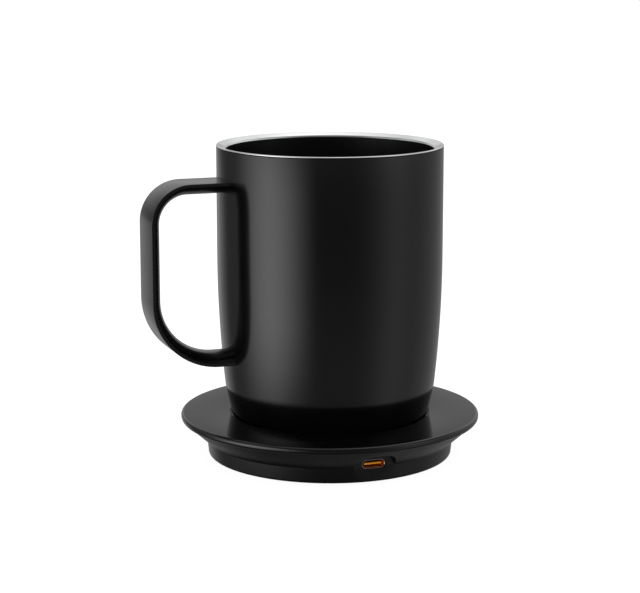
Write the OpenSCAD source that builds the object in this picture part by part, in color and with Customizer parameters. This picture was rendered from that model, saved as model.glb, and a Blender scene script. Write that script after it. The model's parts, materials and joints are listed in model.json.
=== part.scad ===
// Self-heating mug standing on its charging coaster. Millimetres, +Z up.
// The origin is the centre of the coaster's foot, on the table.
// The handle points to -X and the coaster's charging socket to -Y.

/* [Mug body] */
// Outer radius of the mug at its rim
mug_r = 42; // [39:0.5:45]
// Height of the mug from its foot to the top of its lip
mug_h = 102.8; // [96:0.1:115]
// Height above the foot at which the straight wall starts to draw in
belly_h = 62; // [54:0.5:70]
// Radius of the long arc that draws the wall in
belly_r = 455; // [400:5:600]
// Height of the lower band, from the shell's lower edge up to its kink
band_h = 11.6; // [10:0.2:14]
// Lean of the lower band from the vertical, in degrees
band_lean = 13; // [11:0.5:15]
// Radius that softens the kink above the lower band
band_blend_r = 30; // [20:1:40]
// Gap between the mug's foot and the shell's lower edge
shell_lift = 0.5; // [0.3:0.1:0.7]

/* [Mug walls] */
// Sheet thickness of the outer shell
shell_t = 0.9; // [0.7:0.1:1.2]
// Sheet thickness of the inner vessel
vessel_t = 0.7; // [0.5:0.1:1]
// Thickness of the ceramic lining
lining_t = 0.35; // [0.3:0.05:0.6]
// Whole wall, from the lining's face to the outside of the shell
wall_t = 3.65; // [3.5:0.05:5]
// Inside corner radius between the lining's wall and its floor
floor_corner_r = 8; // [5:0.5:11]

/* [Lip] */
// Height of bare steel above the shell's upper edge
lip_t = 0.55; // [0.5:0.05:0.9]
// Radius on the lip's outer edge
lip_round = 0.45; // [0.2:0.05:0.5]
// Width of the lip's flat top, with its rounded edge
lip_flat = 1.2; // [1:0.1:2.3]
// Height of the bevel from the lip's top down to the lining
lip_bevel_h = 1.7; // [1:0.1:2.2]

/* [Handle] */
// Distance from the lip down to the handle's upper face
handle_drop = 11.55; // [9:0.05:16]
// Height of the handle over its outer faces
handle_h = 67.55; // [62:0.05:74]
// Reach of the handle beyond the rim
handle_reach = 28.65; // [26:0.05:34]
// Width of the strap
handle_w = 16.85; // [14:0.05:20]
// Height of the flat sides of the strap
handle_side = 1.2; // [0.8:0.1:2]
// Crown of the strap's rounded inner face
handle_crown = 3.4; // [2:0.1:4.4]
// Outer radius of the upper bend
handle_top_r = 14.65; // [10:0.05:18]
// Outer radius of the lower bend
handle_low_r = 24.6; // [20:0.2:28]

/* [Mug base] */
// How far the soft foot stands proud of the bottom cover
foot_proud = 0.8; // [0.6:0.1:1.2]
// How deep the soft foot is let into the bottom cover
foot_sunk = 0.5; // [0.4:0.1:0.8]
// Width of the soft foot
foot_w = 4.8; // [4.4:0.1:5.4]
// Rim of the bottom cover left outside the soft foot
foot_rim = 0.8; // [0.6:0.1:1.2]
// Thickness of the bottom cover
cover_t = 1.8; // [1.6:0.1:2.4]
// Gap between the bottom cover's edge and the shell
cover_gap = 0.25; // [0.2:0.05:0.4]
// Wire radius of the ring seal
seal_r = 0.95; // [0.8:0.05:1.1]
// Thickness of the skirt that carries the ring seal
skirt_t = 1.6; // [1.2:0.1:2]
// Room between the bottom cover and the control board
board_gap = 2.7; // [2.5:0.1:3.4]
// Thickness of both circuit boards
board_t = 1.6; // [1.2:0.2:2]
// Room between the control board and the floor of the battery tray
tray_lift = 1.8; // [1.6:0.1:2.6]
// Floor of the battery tray
tray_t = 1.2; // [1:0.1:2]
// Wall of the battery tray
tray_wall = 1.4; // [1:0.1:2]
// Height of a battery cell
cell_h = 10.4; // [8:0.2:12]
// Width of a battery cell
cell_w = 20; // [16:0.5:22]
// Space between the battery cells
cell_space = 1.2; // [1:0.1:2]
// Thickness of the insulation pad under the heater
insulation_t = 2.4; // [1.5:0.1:4]
// Thickness of the heater film
film_t = 0.5; // [0.3:0.1:0.8]
// Radius of the studs under the vessel
stud_r = 2; // [1.8:0.1:2.2]

/* [Power button] */
// Radius of the button's face
button_r = 5; // [4:0.1:6]
// Travel of the button
button_travel = 0.5; // [0.3:0.05:0.5]
// Depth of the button's face inside the bottom cover
button_recess = 0.15; // [0.1:0.05:0.4]
// Width of the flange that keeps the button in
button_flange = 1.2; // [0.8:0.1:1.6]

/* [Charging contacts] */
// Distance of the inner pin from the axis, and mid radius of its ring
pin_in_r = 11; // [10.8:0.1:12]
// Distance of the outer pin from the axis, and mid radius of its ring
pin_out_r = 17; // [16:0.5:19]
// Width of a contact ring
ring_w = 3; // [2.4:0.1:3.4]
// Thickness of a contact ring
ring_t = 0.8; // [0.5:0.1:1]
// Radius of a pin's tip
pin_r = 1.2; // [0.9:0.05:1.3]
// Gap between a pin's tip and the ring over it
pin_gap = 0.1; // [0.05:0.05:0.15]

/* [Coaster] */
// Radius of the coaster's flange
flange_r = 56.15; // [53:0.05:62]
// Height of the coaster
coaster_h = 16.3; // [15.5:0.1:19]
// Thickness of the flange
flange_t = 2.8; // [2.4:0.1:3.2]
// Radius on the flange's upper and lower edge
flange_edge_r = 0.9; // [0.4:0.1:1.1]
// Depth of the well that the mug stands in
well_depth = 2; // [1.5:0.1:2.4]
// Gap between the mug and the wall of the well
well_gap = 0.75; // [0.5:0.05:1.5]
// Thickness of the well's floor
pan_t = 1.8; // [1.4:0.1:2.4]
// Radius of the crease where the sloped side meets the foot ring
crease_r = 46.4; // [45:0.05:50]
// Height of the crease
crease_z = 6.05; // [5.6:0.05:7]
// How much the foot ring draws in from the crease to the table
ring_draw = 0.6; // [0.4:0.1:1.4]
// Wall of the housing
housing_t = 2.2; // [1.8:0.1:2.6]
// Width of the ledge that the base plate seats against
ledge_w = 1.2; // [0.8:0.1:1.6]
// Thickness of the base plate
base_t = 2; // [1.8:0.1:2.6]
// Width of the base plate's rim round the soft foot disc
base_rim = 3.65; // [2.5:0.05:6]
// Thickness of the soft foot disc
pad_t = 1.2; // [1:0.1:1.4]
// How far the soft foot disc stands proud of the housing
pad_proud = 0.3; // [0.2:0.05:0.4]
// Height of the posts that carry the charging board
post_h = 1.35; // [0.4:0.05:2]
// Radius of the charging board's disc
disc_r = 27; // [25:0.5:28]
// Width of the charging board's neck
neck_w = 18; // [14:0.5:20]
// Distance of the coaster's screws from the axis
screw_ring_r = 33; // [32.5:0.25:35]

/* [Charging socket] */
// Width of the socket's shell
usb_w = 8.94; // [8.94]
// Height of the socket's shell
usb_h = 3.26; // [3.26]
// Depth of the socket's shell
usb_l = 7.35; // [6.5:0.05:8]
// Wall of the socket's shell
usb_wall = 0.3; // [0.2:0.05:0.35]
// Width of the tongue inside the socket
tongue_w = 6.69; // [6.69]
// Thickness of the tongue
tongue_t = 0.7; // [0.7]
// Depth of the flat pocket round the socket, measured from the crease
pocket_d = 0.7; // [0.5:0.05:1.6]
// Width of the pocket
pocket_w = 15.7; // [14:0.1:20]
// Height of the pocket above the socket's middle
pocket_rise = 4.7; // [2.5:0.05:5]
// Radius of the pocket's upper corners
pocket_corner_r = 5.6; // [1:0.1:6]
// Distance of the socket's front edge behind the pocket's floor
usb_inset = 0.45; // [0.1:0.05:0.6]

/* [Screws] */
// Radius of a screw's head
head_r = 1.9; // [1.6:0.1:1.95]
// Height of a screw's head
head_h = 1.3; // [1:0.1:1.3]
// Radius of a screw's shank
shank_r = 1.15; // [0.9:0.05:1.2]
// Length of thread in its boss or stud
thread_l = 5.5; // [4:0.1:6.5]

/* [Hidden] */

$fn = 96;
long_arc_fn = 256;
belly_steps = 18;
blend_steps = 5;
corner_steps = 8;
edge_steps = 8;
cut = 1;

// Clearances
slip = 0.05;
loose = 0.1;
room = 0.2;
hole_clear = 0.1;
board_edge_gap = 1.8;
stud_gap = 2.2;
tray_gap = 0.6;
cell_gap = 0.5;
cell_top_gap = 0.4;
sensor_gap = 0.6;
film_gap = 1;

// Colours
coat_black = "#1b1b1d";
steel = "#c9ccd0";
ceramic_black = "#131314";
plastic_black = "#1d1d1f";
silicone_grey = "#2c2c2e";
gold = "#d8b25a";
socket_orange = "#d98a1e";
board_green = "#1f4d33";
film_amber = "#b9712a";
pad_white = "#d9d6cc";
cell_foil = "#b9bdc2";
chip_black = "#26262a";

// Heights of the coaster, from the table up
base_top_z = pad_proud + base_t;
charge_z = base_top_z + post_h;
charge_top_z = charge_z + board_t;
port_z = charge_top_z + usb_h / 2;
flange_z = coaster_h - flange_t;
well_z = coaster_h - well_depth;
pan_z = well_z - pan_t;

// Heights of the mug, from its foot up
lip_z = well_z + mug_h;
seam_z = lip_z - lip_t;
bevel_z = lip_z - lip_bevel_h;
belly_z = well_z + belly_h;
shell_z = well_z + shell_lift;
kink_z = shell_z + band_h;
cover_z = well_z + foot_proud;
cover_top_z = cover_z + cover_t;
board_z = cover_top_z + board_gap;
board_top_z = board_z + board_t;
tray_z = board_top_z + tray_lift;
cell_z = tray_z + tray_t;
tray_top_z = cell_z + cell_h + cell_top_gap;
film_z = tray_top_z + insulation_t;
vessel_z = film_z + film_t;
floor_z = vessel_z + vessel_t + lining_t;

// Outline of the mug: straight wall, long arc, blend and lower band
belly_x = mug_r - belly_r;
kink_a = asin((belly_z - kink_z) / belly_r);
kink_r = belly_x + belly_r * cos(kink_a);
blend_a = band_lean
    - acos((belly_r * cos(band_lean - kink_a) - band_blend_r) / (belly_r - band_blend_r));
blend_x = belly_x + (belly_r - band_blend_r) * cos(blend_a);
blend_z = belly_z - (belly_r - band_blend_r) * sin(blend_a);

function band_r(z, inset) = kink_r - (kink_z - z) * tan(band_lean) - inset / cos(band_lean);

// Layers of the wall, measured in from the outside
lining_in = wall_t;
vessel_in = wall_t - lining_t;
vessel_out = wall_t - lining_t - vessel_t;

// Widths in the mug's base
cover_r = band_r(cover_z, shell_t) - cover_gap;
foot_out_r = cover_r - foot_rim;
foot_in_r = foot_out_r - foot_w;
seal_z = cover_top_z + seal_r + room;
seal_ring_r = band_r(seal_z, shell_t) - (seal_r + loose) / cos(band_lean);
skirt_r = seal_ring_r - seal_r - loose;
board_r = band_r(board_z, shell_t) - board_edge_gap;
stud_ring_r = band_r(board_z, shell_t) - stud_r - stud_gap;
stud_count = 3;
tray_r = stud_ring_r - stud_r - tray_gap;
tray_in_r = tray_r - tray_wall;
cell_side = cell_w + cell_space / 2;
cell_l = 2 * sqrt(pow(tray_in_r - cell_gap, 2) - pow(cell_side, 2));
cell_edge_r = 2;
divider_h = cell_h / 2;
divider_l = cell_l - 2 * cell_edge_r;
divider_t = cell_space - 2 * room;
film_r = tray_in_r - film_gap;
sensor_r = 2.6;
sensor_h = 1.5;
film_hole_r = sensor_r + sensor_gap;
pad_hole_r = film_hole_r + sensor_gap;
tail_w = 6;
tail_t = 0.3;
tail_r = tray_r + loose;
tail_angle = 60;
boss_r = 3;
skirt_drop = 0.4;
seat_z = cover_z + foot_sunk + head_h + loose;
socket_r = 0.95;
socket_d = 0.7;
screw_up_l = board_top_z - seat_z + thread_l;
pilot_l = thread_l + cut;

// Soldered parts: place in X and Y, then length, width and height
small_part = [1, 1.8, 0.9];
control_chips = [
    [-8, 6, 6, 6, 0.9],
    [9, 8, 4, 5, 0.9],
    [2, -12, 5, 4, 0.9],
    [-14, -9, 3, 3, 0.9]
];
control_row_n = 6;
control_row_pitch = 2.6;
control_row_y = 15;
control_coil_at = [13, -7, 0];
control_coil_r = 3;
control_coil_h = 1.5;
charging_chips = [
    [0, -12, 5, 5, 1],
    [-8, -18, 6, 6, 2.6],
    [9, -17, 4, 3, 1],
    [-6, 10, 4, 4, 1]
];
charging_row_n = 5;
charging_row_pitch = 2.2;
charging_row_y = -32;
charging_can_at = [6, 14, 0];
charging_can_r = 2.5;
charging_can_h = 4.5;

// Power button and its switch
button_z = cover_z + button_recess;
flange_z0 = cover_top_z + loose;
button_flange_t = 0.6;
dish_r = 14;
dish_d = 0.3;
button_top_z = flange_z0 + button_flange_t;
switch_w = 6;
switch_h = 1.1;
switch_bore_r = 1.65;
switch_roof = 0.05;

// Contacts
leg_r = 0.8;
leg_angles = [90, 270];
pin_tip_z = cover_z - pin_gap;
pin_lift = 0.5;
barrel_r = 2.2;
barrel_floor = 0.8;
barrel_mouth = 0.8;
barrel_top_z = pan_z - loose;
collar_r = 1.6;
collar_h = 1.2;
collar_top_z = barrel_top_z - barrel_mouth - pin_lift;
spring_wire_r = 0.2;
spring_turns = 4;
spring_rings = 8;
spring_sides = 6;

// Coaster outline
cone_top_r = flange_r - flange_t / 2;
cone_rise = (cone_top_r - crease_r) / (flange_z - crease_z);
cone_wall = housing_t * sqrt(1 + pow(cone_rise, 2));
ring_foot_r = crease_r - ring_draw;
base_r = ring_foot_r - housing_t;
pad_r = base_r - room - base_rim;
ledge_r = min(base_r, crease_r - cone_wall) - ledge_w;
ledge_top_z = (base_top_z + crease_z) / 2;
well_r = band_r(coaster_h, 0) + well_gap;
pan_r = well_r + pan_t;
rib_h = 1.2;
rib_t = 1.4;
rib_r = cone_top_r - cone_wall - rib_h * cone_rise - room;
coaster_boss_r = 3.4;
coaster_boss_h = 2;
coaster_boss_z = base_top_z + coaster_boss_h;
pad_sunk = pad_t - pad_proud;
coaster_seat_z = pad_t + head_h + loose;
coaster_screw_l = coaster_boss_z - coaster_seat_z + thread_l;
coaster_screws_n = 4;
post_r = 2.2;
peg_r = 1;
peg_over = 0.6;
post_edge = 4;
post_ring_r = disc_r - post_edge;
post_count = 4;

// Charging socket
pocket_y = crease_r - pocket_d;
usb_front_y = pocket_y - usb_inset;
usb_back_y = usb_front_y - usb_l;
usb_gap = 0.2;
port_wall_rim = 1.6;
port_wall_w = pocket_w + 2 * port_wall_rim;
port_wall_top_z = port_z + pocket_rise + port_wall_rim;
neck_gap = 0.4;
neck_y = sqrt(pow(ledge_r, 2) - pow(neck_w / 2, 2)) - neck_gap;
tongue_back = 0.8;
tongue_l = 4.45;
contact_count = 12;
contact_pitch = 0.5;
contact_w = 0.25;
contact_t = 0.08;
contact_l = 3.4;
contact_back = 0.5;

// Handle path
grip_x = mug_r + handle_reach;
handle_top_z = lip_z - handle_drop;
handle_low_z = handle_top_z - handle_h;
crown_r = (pow(handle_w / 2, 2) + pow(handle_crown, 2)) / (2 * handle_crown);
root_x = mug_r - wall_t;

// Points along an arc, from one angle to another, with or without its first point
function arc(x, z, r, from, to, steps, first = 0) = [
    for (i = [first : steps])
        let (a = from + (to - from) * i / steps)
        [x + r * cos(a), z + r * sin(a)]
];

function reversed(points) = [for (i = [len(points) - 1 : -1 : 0]) points[i]];

// Outside of the mug from the shell's lower edge to a height, drawn in by an even inset
function body_outline(inset, top_z) = concat(
    [[band_r(shell_z, inset), shell_z]],
    arc(blend_x, blend_z, band_blend_r - inset, -band_lean, -blend_a, blend_steps),
    arc(belly_x, belly_z, belly_r - inset, -blend_a, 0, belly_steps, 1),
    [[mug_r - inset, top_z]]
);

// Cup from the middle of its floor to a height, with a rounded floor corner
function cup_outline(inset, floor_level, corner_r, top_z) =
    let (
        corner_z = floor_level + corner_r,
        reach = belly_r - inset - corner_r,
        corner_a = asin((belly_z - corner_z) / reach),
        corner_x = belly_x + reach * cos(corner_a)
    )
    concat(
        [[0, floor_level]],
        arc(corner_x, corner_z, corner_r, -90, -corner_a, corner_steps),
        arc(belly_x, belly_z, belly_r - inset, -corner_a, 0, belly_steps, 1),
        [[mug_r - inset, top_z]]
    );

module ring(outer_r, inner_r, h) {
    difference() {
        cylinder(r = outer_r, h = h);
        translate([0, 0, -cut])
            cylinder(r = inner_r, h = h + 2 * cut);
    }
}

// Copies on a circle, from a starting angle
module around(count, radius, start = 0) {
    for (i = [0 : count - 1])
        rotate([0, 0, start + i * 360 / count])
            translate([radius, 0, 0])
                children();
}

module rounded_block(length, width, height, edge_r) {
    linear_extrude(height) {
        square([length, width - 2 * edge_r], center = true);
        square([length - 2 * edge_r, width], center = true);
        for (x = [-1, 1], y = [-1, 1])
            translate([x * (length / 2 - edge_r), y * (width / 2 - edge_r)])
                circle(r = edge_r);
    }
}

// Flat chips standing on z = 0, each given by its place and size
module chips(list) {
    for (c = list)
        translate([c[0] - c[2] / 2, c[1] - c[3] / 2, 0])
            cube([c[2], c[3], c[4]]);
}

// Row of small parts along X
module chip_row(count, pitch, y, size) {
    for (i = [0 : count - 1])
        translate([(i - (count - 1) / 2) * pitch - size[0] / 2, y - size[1] / 2, 0])
            cube(size);
}

// Screw pointing up, with its head's upper face at z = 0
module screw(length) {
    difference() {
        union() {
            translate([0, 0, -head_h])
                cylinder(r = head_r, h = head_h);
            cylinder(r = shank_r, h = length);
        }
        translate([0, 0, -head_h - cut])
            cylinder(r = socket_r, h = socket_d + cut, $fn = 6);
    }
}

// Painted steel shell, open at both ends
module outer_shell() {
    color(coat_black)
        rotate_extrude()
            polygon(concat(
                body_outline(0, seam_z),
                reversed(body_outline(shell_t, seam_z))
            ));
}

// Lip that folds over the shell's upper edge, from the vessel's outer wall to the lining
function lip_outline() =
    let (
        in_r = mug_r - lining_in,
        wall_in_r = mug_r - vessel_in,
        wall_out_r = mug_r - vessel_out,
        slope = lip_bevel_h / (wall_t - lip_flat),
        under_z = bevel_z + (wall_out_r - in_r) * slope - vessel_t * sqrt(1 + pow(slope, 2)),
        under_r = wall_out_r + (seam_z - under_z) / slope
    )
    concat(
        [[wall_out_r, under_z], [under_r, seam_z], [mug_r, seam_z]],
        arc(mug_r - lip_round, lip_z - lip_round, lip_round, 0, 90, corner_steps),
        [[mug_r - lip_flat, lip_z], [in_r, bevel_z], [wall_in_r, bevel_z]]
    );

// Steel cup with its folded lip and the studs that carry the base
module inner_vessel() {
    join_z = bevel_z - 1;
    in_floor = floor_z - lining_t;
    in_corner = floor_corner_r + lining_t;
    inside = cup_outline(vessel_in, in_floor, in_corner, join_z);
    color(steel) {
        rotate_extrude()
            polygon(concat(
                cup_outline(vessel_out, vessel_z, in_corner + vessel_t, join_z),
                lip_outline(),
                reversed(inside)
            ));
        difference() {
            around(stud_count, stud_ring_r)
                translate([0, 0, board_top_z])
                    ring_stud();
            rotate_extrude()
                polygon(concat(inside, [[0, join_z]]));
        }
    }
}

// Stud with its blind thread hole, tall enough to reach the curved floor
module ring_stud() {
    difference() {
        cylinder(r = stud_r, h = vessel_z + floor_corner_r - board_top_z);
        translate([0, 0, -cut])
            cylinder(r = shank_r + slip, h = pilot_l + cut);
    }
}

module ceramic_lining() {
    color(ceramic_black)
        rotate_extrude()
            polygon(concat(
                cup_outline(vessel_in, floor_z - lining_t, floor_corner_r + lining_t, bevel_z),
                reversed(cup_outline(lining_in, floor_z, floor_corner_r, bevel_z))
            ));
}

// Strap section: flat outer face on the left, rounded inner face on the right
module strap_section() {
    depth = handle_side + handle_crown;
    intersection() {
        translate([0, -handle_w / 2])
            square([depth + cut, handle_w]);
        translate([depth - crown_r, 0])
            circle(r = crown_r, $fn = long_arc_fn);
    }
}

// Straight stretch of strap, running towards -Y
module strap_bar(length) {
    rotate([90, 0, 0])
        linear_extrude(length)
            strap_section();
}

// Quarter bend of strap with its outer face at a radius
module strap_bend(radius) {
    rotate_extrude(angle = 90)
        translate([radius, 0])
            mirror([1, 0])
                strap_section();
}

// Bent strap whose two ends fit the mug's side
module handle() {
    top_x = grip_x - handle_top_r;
    low_x = grip_x - handle_low_r;
    top_bend_z = handle_top_z - handle_top_r;
    low_bend_z = handle_low_z + handle_low_r;
    color(coat_black)
        difference() {
            rotate([90, 0, 0]) {
                translate([-root_x, handle_top_z, 0])
                    rotate([0, 0, -90])
                        strap_bar(top_x - root_x);
                translate([-top_x, top_bend_z, 0])
                    rotate([0, 0, 90])
                        strap_bend(handle_top_r);
                translate([-grip_x, top_bend_z, 0])
                    strap_bar(top_bend_z - low_bend_z);
                translate([-low_x, low_bend_z, 0])
                    rotate([0, 0, 180])
                        strap_bend(handle_low_r);
                translate([-low_x, handle_low_z, 0])
                    rotate([0, 0, 90])
                        strap_bar(low_x - root_x + handle_w);
            }
            rotate_extrude()
                polygon(concat([[0, shell_z]], body_outline(0, seam_z), [[0, seam_z]]));
        }
}

// Flexible heater with its tail down to the control board
module heater_film() {
    color(film_amber)
        rotate([0, 0, tail_angle]) {
            translate([0, 0, film_z])
                ring(film_r, film_hole_r, film_t);
            translate([film_r - cut, -tail_w / 2, film_z])
                cube([tail_r + tail_t - film_r + cut, tail_w, tail_t]);
            translate([tail_r, -tail_w / 2, board_top_z])
                cube([tail_t, tail_w, film_z + tail_t - board_top_z]);
        }
}

module temperature_sensor() {
    color(chip_black)
        translate([0, 0, vessel_z - sensor_h])
            cylinder(r = sensor_r, h = sensor_h);
}

module insulation_pad() {
    color(pad_white)
        translate([0, 0, tray_top_z])
            ring(tray_r, pad_hole_r, insulation_t);
}

// Round tray that stands on the control board and holds the cells
module battery_tray() {
    color(plastic_black) {
        translate([0, 0, board_top_z])
            ring(tray_r, tray_in_r, tray_top_z - board_top_z);
        translate([0, 0, tray_z])
            cylinder(r = tray_r, h = tray_t);
        translate([-divider_l / 2, -divider_t / 2, tray_z])
            cube([divider_l, divider_t, tray_t + divider_h]);
    }
}

module battery_cells() {
    color(cell_foil)
        for (side = [-1, 1])
            translate([0, side * (cell_w + cell_space) / 2, cell_z])
                rounded_block(cell_l, cell_w, cell_h, cell_edge_r);
}

module control_board() {
    color(board_green)
        translate([0, 0, board_z])
            difference() {
                cylinder(r = board_r, h = board_t);
                around(stud_count, stud_ring_r)
                    translate([0, 0, -cut])
                        cylinder(r = shank_r + hole_clear, h = board_t + 2 * cut);
            }
}

// Parts soldered to the upper face of the control board
module board_components() {
    color(chip_black)
        translate([0, 0, board_top_z]) {
            chips(control_chips);
            chip_row(control_row_n, control_row_pitch, control_row_y, small_part);
            translate(control_coil_at)
                cylinder(r = control_coil_r, h = control_coil_h);
        }
}

module tact_switch() {
    color(chip_black)
        translate([0, 0, board_z - switch_h])
            difference() {
                translate([-switch_w / 2, -switch_w / 2, 0])
                    cube([switch_w, switch_w, switch_h]);
                translate([0, 0, -cut])
                    cylinder(r = switch_bore_r, h = switch_h + cut - switch_roof);
            }
}

// Plastic cover that closes the mug's base
module bottom_cover() {
    boss_h = board_z - cover_top_z;
    skirt_h = boss_h - skirt_drop;
    color(plastic_black)
        difference() {
            union() {
                translate([0, 0, cover_z])
                    cylinder(r = cover_r, h = cover_t);
                translate([0, 0, cover_top_z])
                    ring(skirt_r, skirt_r - skirt_t, skirt_h);
                intersection() {
                    around(stud_count, stud_ring_r)
                        translate([0, 0, cover_top_z])
                            cylinder(r = boss_r, h = boss_h);
                    translate([0, 0, cover_top_z])
                        cylinder(r = skirt_r, h = boss_h);
                }
            }
            translate([0, 0, cover_z - cut])
                ring(foot_out_r + loose, foot_in_r - loose, foot_sunk + cut);
            for (r = [pin_in_r, pin_out_r]) {
                translate([0, 0, cover_z - cut])
                    ring(r + ring_w / 2 + slip, r - ring_w / 2 - slip, ring_t + cut);
                for (a = leg_angles)
                    rotate([0, 0, a])
                        translate([r, 0, cover_z])
                            cylinder(r = leg_r + slip, h = cover_t + cut);
            }
            translate([0, 0, cover_z - cut])
                cylinder(r = button_r + loose, h = cover_t + 2 * cut);
            around(stud_count, stud_ring_r) {
                translate([0, 0, cover_z])
                    cylinder(r = head_r + hole_clear, h = seat_z - cover_z);
                translate([0, 0, cover_z])
                    cylinder(r = shank_r + hole_clear, h = board_z - cover_z + cut);
            }
        }
}

module base_seal() {
    color(silicone_grey)
        rotate_extrude()
            translate([seal_ring_r, seal_z])
                circle(r = seal_r, $fn = 48);
}

module mug_foot() {
    color(silicone_grey)
        translate([0, 0, well_z])
            ring(foot_out_r, foot_in_r, foot_proud + foot_sunk);
}

module cover_screws() {
    color(steel)
        around(stud_count, stud_ring_r)
            translate([0, 0, seat_z])
                screw(screw_up_l);
}

// Gold ring let into the bottom cover, with legs up to the control board
module contact_ring(mid_r) {
    color(gold) {
        translate([0, 0, cover_z])
            ring(mid_r + ring_w / 2, mid_r - ring_w / 2, ring_t);
        for (a = leg_angles)
            rotate([0, 0, a])
                translate([mid_r, 0, cover_z + ring_t / 2])
                    cylinder(r = leg_r, h = board_z - cover_z - ring_t / 2);
    }
}

module contact_ring_inner() {
    contact_ring(pin_in_r);
}

module contact_ring_outer() {
    contact_ring(pin_out_r);
}

// Round push button in the middle of the bottom cover
module power_button() {
    color(plastic_black)
        difference() {
            union() {
                translate([0, 0, button_z])
                    cylinder(r = button_r, h = button_top_z - button_z);
                translate([0, 0, flange_z0])
                    cylinder(r = button_r + button_flange, h = button_flange_t);
            }
            translate([0, 0, button_z + dish_d - dish_r])
                sphere(r = dish_r, $fn = long_arc_fn);
        }
}

module switch_plunger() {
    plunger_z = button_top_z + loose;
    color(silicone_grey)
        translate([0, 0, plunger_z])
            cylinder(
                r = switch_bore_r - slip,
                h = board_z - 2 * switch_roof - button_travel - plunger_z
            );
}

// Round plate with the mug's well, a rounded edge and screw bosses below
module coaster_top() {
    edge_x = flange_r - flange_edge_r;
    color(coat_black)
        difference() {
            union() {
                rotate_extrude()
                    polygon(concat(
                        [[0, pan_z], [pan_r, pan_z], [pan_r, flange_z]],
                        arc(edge_x, flange_z + flange_edge_r, flange_edge_r, -90, 0, edge_steps),
                        arc(edge_x, coaster_h - flange_edge_r, flange_edge_r, 0, 90, edge_steps),
                        [[well_r, coaster_h], [well_r, well_z], [0, well_z]]
                    ));
                translate([0, 0, flange_z - rib_h])
                    difference() {
                        ring(rib_r, rib_r - rib_t, rib_h);
                        translate([-port_wall_w / 2 - room, -rib_r - cut, -cut])
                            cube([port_wall_w + 2 * room, rib_r, rib_h + 2 * cut]);
                    }
                around(coaster_screws_n, screw_ring_r, 45)
                    translate([0, 0, coaster_boss_z])
                        cylinder(r = coaster_boss_r, h = pan_z - coaster_boss_z);
            }
            around(coaster_screws_n, screw_ring_r, 45)
                translate([0, 0, coaster_boss_z - cut])
                    cylinder(r = shank_r + slip, h = pilot_l + cut);
            for (x = [pin_in_r, -pin_out_r])
                translate([x, 0, pan_z - cut])
                    cylinder(r = pin_r + loose, h = pan_t + 2 * cut);
        }
}

// Outline with round ends, as the socket's shell has
module stadium(width, height) {
    square([width - height, height], center = true);
    for (side = [-1, 1])
        translate([side * (width - height) / 2, 0])
            circle(d = height);
}

// Places a flat outline upright, facing -Y, with its front at a distance from the axis
module facing_front(front_y, depth) {
    translate([0, -front_y + depth, port_z])
        rotate([90, 0, 0])
            linear_extrude(depth)
                children();
}

// Arched outline of the pocket, open at the bottom
module pocket_outline() {
    side_x = pocket_w / 2 - pocket_corner_r;
    low = port_z + cut;
    translate([-pocket_w / 2, -low])
        square([pocket_w, low + pocket_rise - pocket_corner_r]);
    translate([-side_x, pocket_rise - pocket_corner_r])
        square([2 * side_x, pocket_corner_r]);
    for (side = [-1, 1])
        translate([side * side_x, pocket_rise - pocket_corner_r])
            circle(r = pocket_corner_r);
}

// Housing below the flange: sloped side, foot ring and the socket's flat pocket
module coaster_housing() {
    outside = [
        [ring_foot_r, pad_proud],
        [crease_r, crease_z],
        [cone_top_r, flange_z]
    ];
    inside = [
        [cone_top_r - cone_wall, flange_z],
        [crease_r - cone_wall, crease_z],
        [ledge_r, ledge_top_z],
        [ledge_r, base_top_z],
        [base_r, base_top_z],
        [base_r, pad_proud]
    ];
    filled = [[0, flange_z], [0, pad_proud]];
    color(coat_black)
        difference() {
            union() {
                rotate_extrude()
                    polygon(concat(outside, inside));
                intersection() {
                    rotate_extrude()
                        polygon(concat(outside, filled));
                    translate([-port_wall_w / 2, -crease_r - crease_r, base_top_z])
                        cube([port_wall_w, 2 * crease_r - ledge_r + cut, port_wall_top_z - base_top_z]);
                }
            }
            facing_front(2 * crease_r, 2 * crease_r - pocket_y)
                pocket_outline();
            facing_front(crease_r + cut, crease_r + cut - usb_back_y)
                stadium(usb_w + 2 * usb_gap, usb_h + 2 * usb_gap);
        }
}

// Plate that closes the coaster from below and carries its board
module coaster_base() {
    color(plastic_black)
        difference() {
            union() {
                translate([0, 0, pad_proud])
                    cylinder(r = base_r - room, h = base_t);
                around(coaster_screws_n, screw_ring_r, 45)
                    translate([0, 0, pad_t])
                        cylinder(r = coaster_boss_r, h = coaster_boss_z - pad_t);
                around(post_count, post_ring_r) {
                    translate([0, 0, pad_t])
                        cylinder(r = post_r, h = charge_z - pad_t);
                    translate([0, 0, pad_t])
                        cylinder(r = peg_r, h = charge_top_z + peg_over - pad_t);
                }
            }
            translate([0, 0, pad_proud - cut])
                cylinder(r = pad_r + loose, h = pad_sunk + cut);
            around(coaster_screws_n, screw_ring_r, 45) {
                translate([0, 0, pad_proud])
                    cylinder(r = head_r + hole_clear, h = coaster_seat_z - pad_proud);
                translate([0, 0, pad_proud])
                    cylinder(r = shank_r + hole_clear, h = coaster_boss_z + cut);
            }
        }
}

module coaster_foot() {
    color(silicone_grey)
        cylinder(r = pad_r, h = pad_t);
}

module coaster_screws() {
    color(steel)
        around(coaster_screws_n, screw_ring_r, 45)
            translate([0, 0, coaster_seat_z])
                screw(coaster_screw_l);
}

// Round board with a neck that carries the socket
module charging_board() {
    color(board_green)
        translate([0, 0, charge_z])
            difference() {
                union() {
                    cylinder(r = disc_r, h = board_t);
                    translate([-neck_w / 2, -neck_y, 0])
                        cube([neck_w, neck_y, board_t]);
                }
                around(post_count, post_ring_r)
                    translate([0, 0, -cut])
                        cylinder(r = peg_r + loose, h = board_t + 2 * cut);
            }
}

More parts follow.
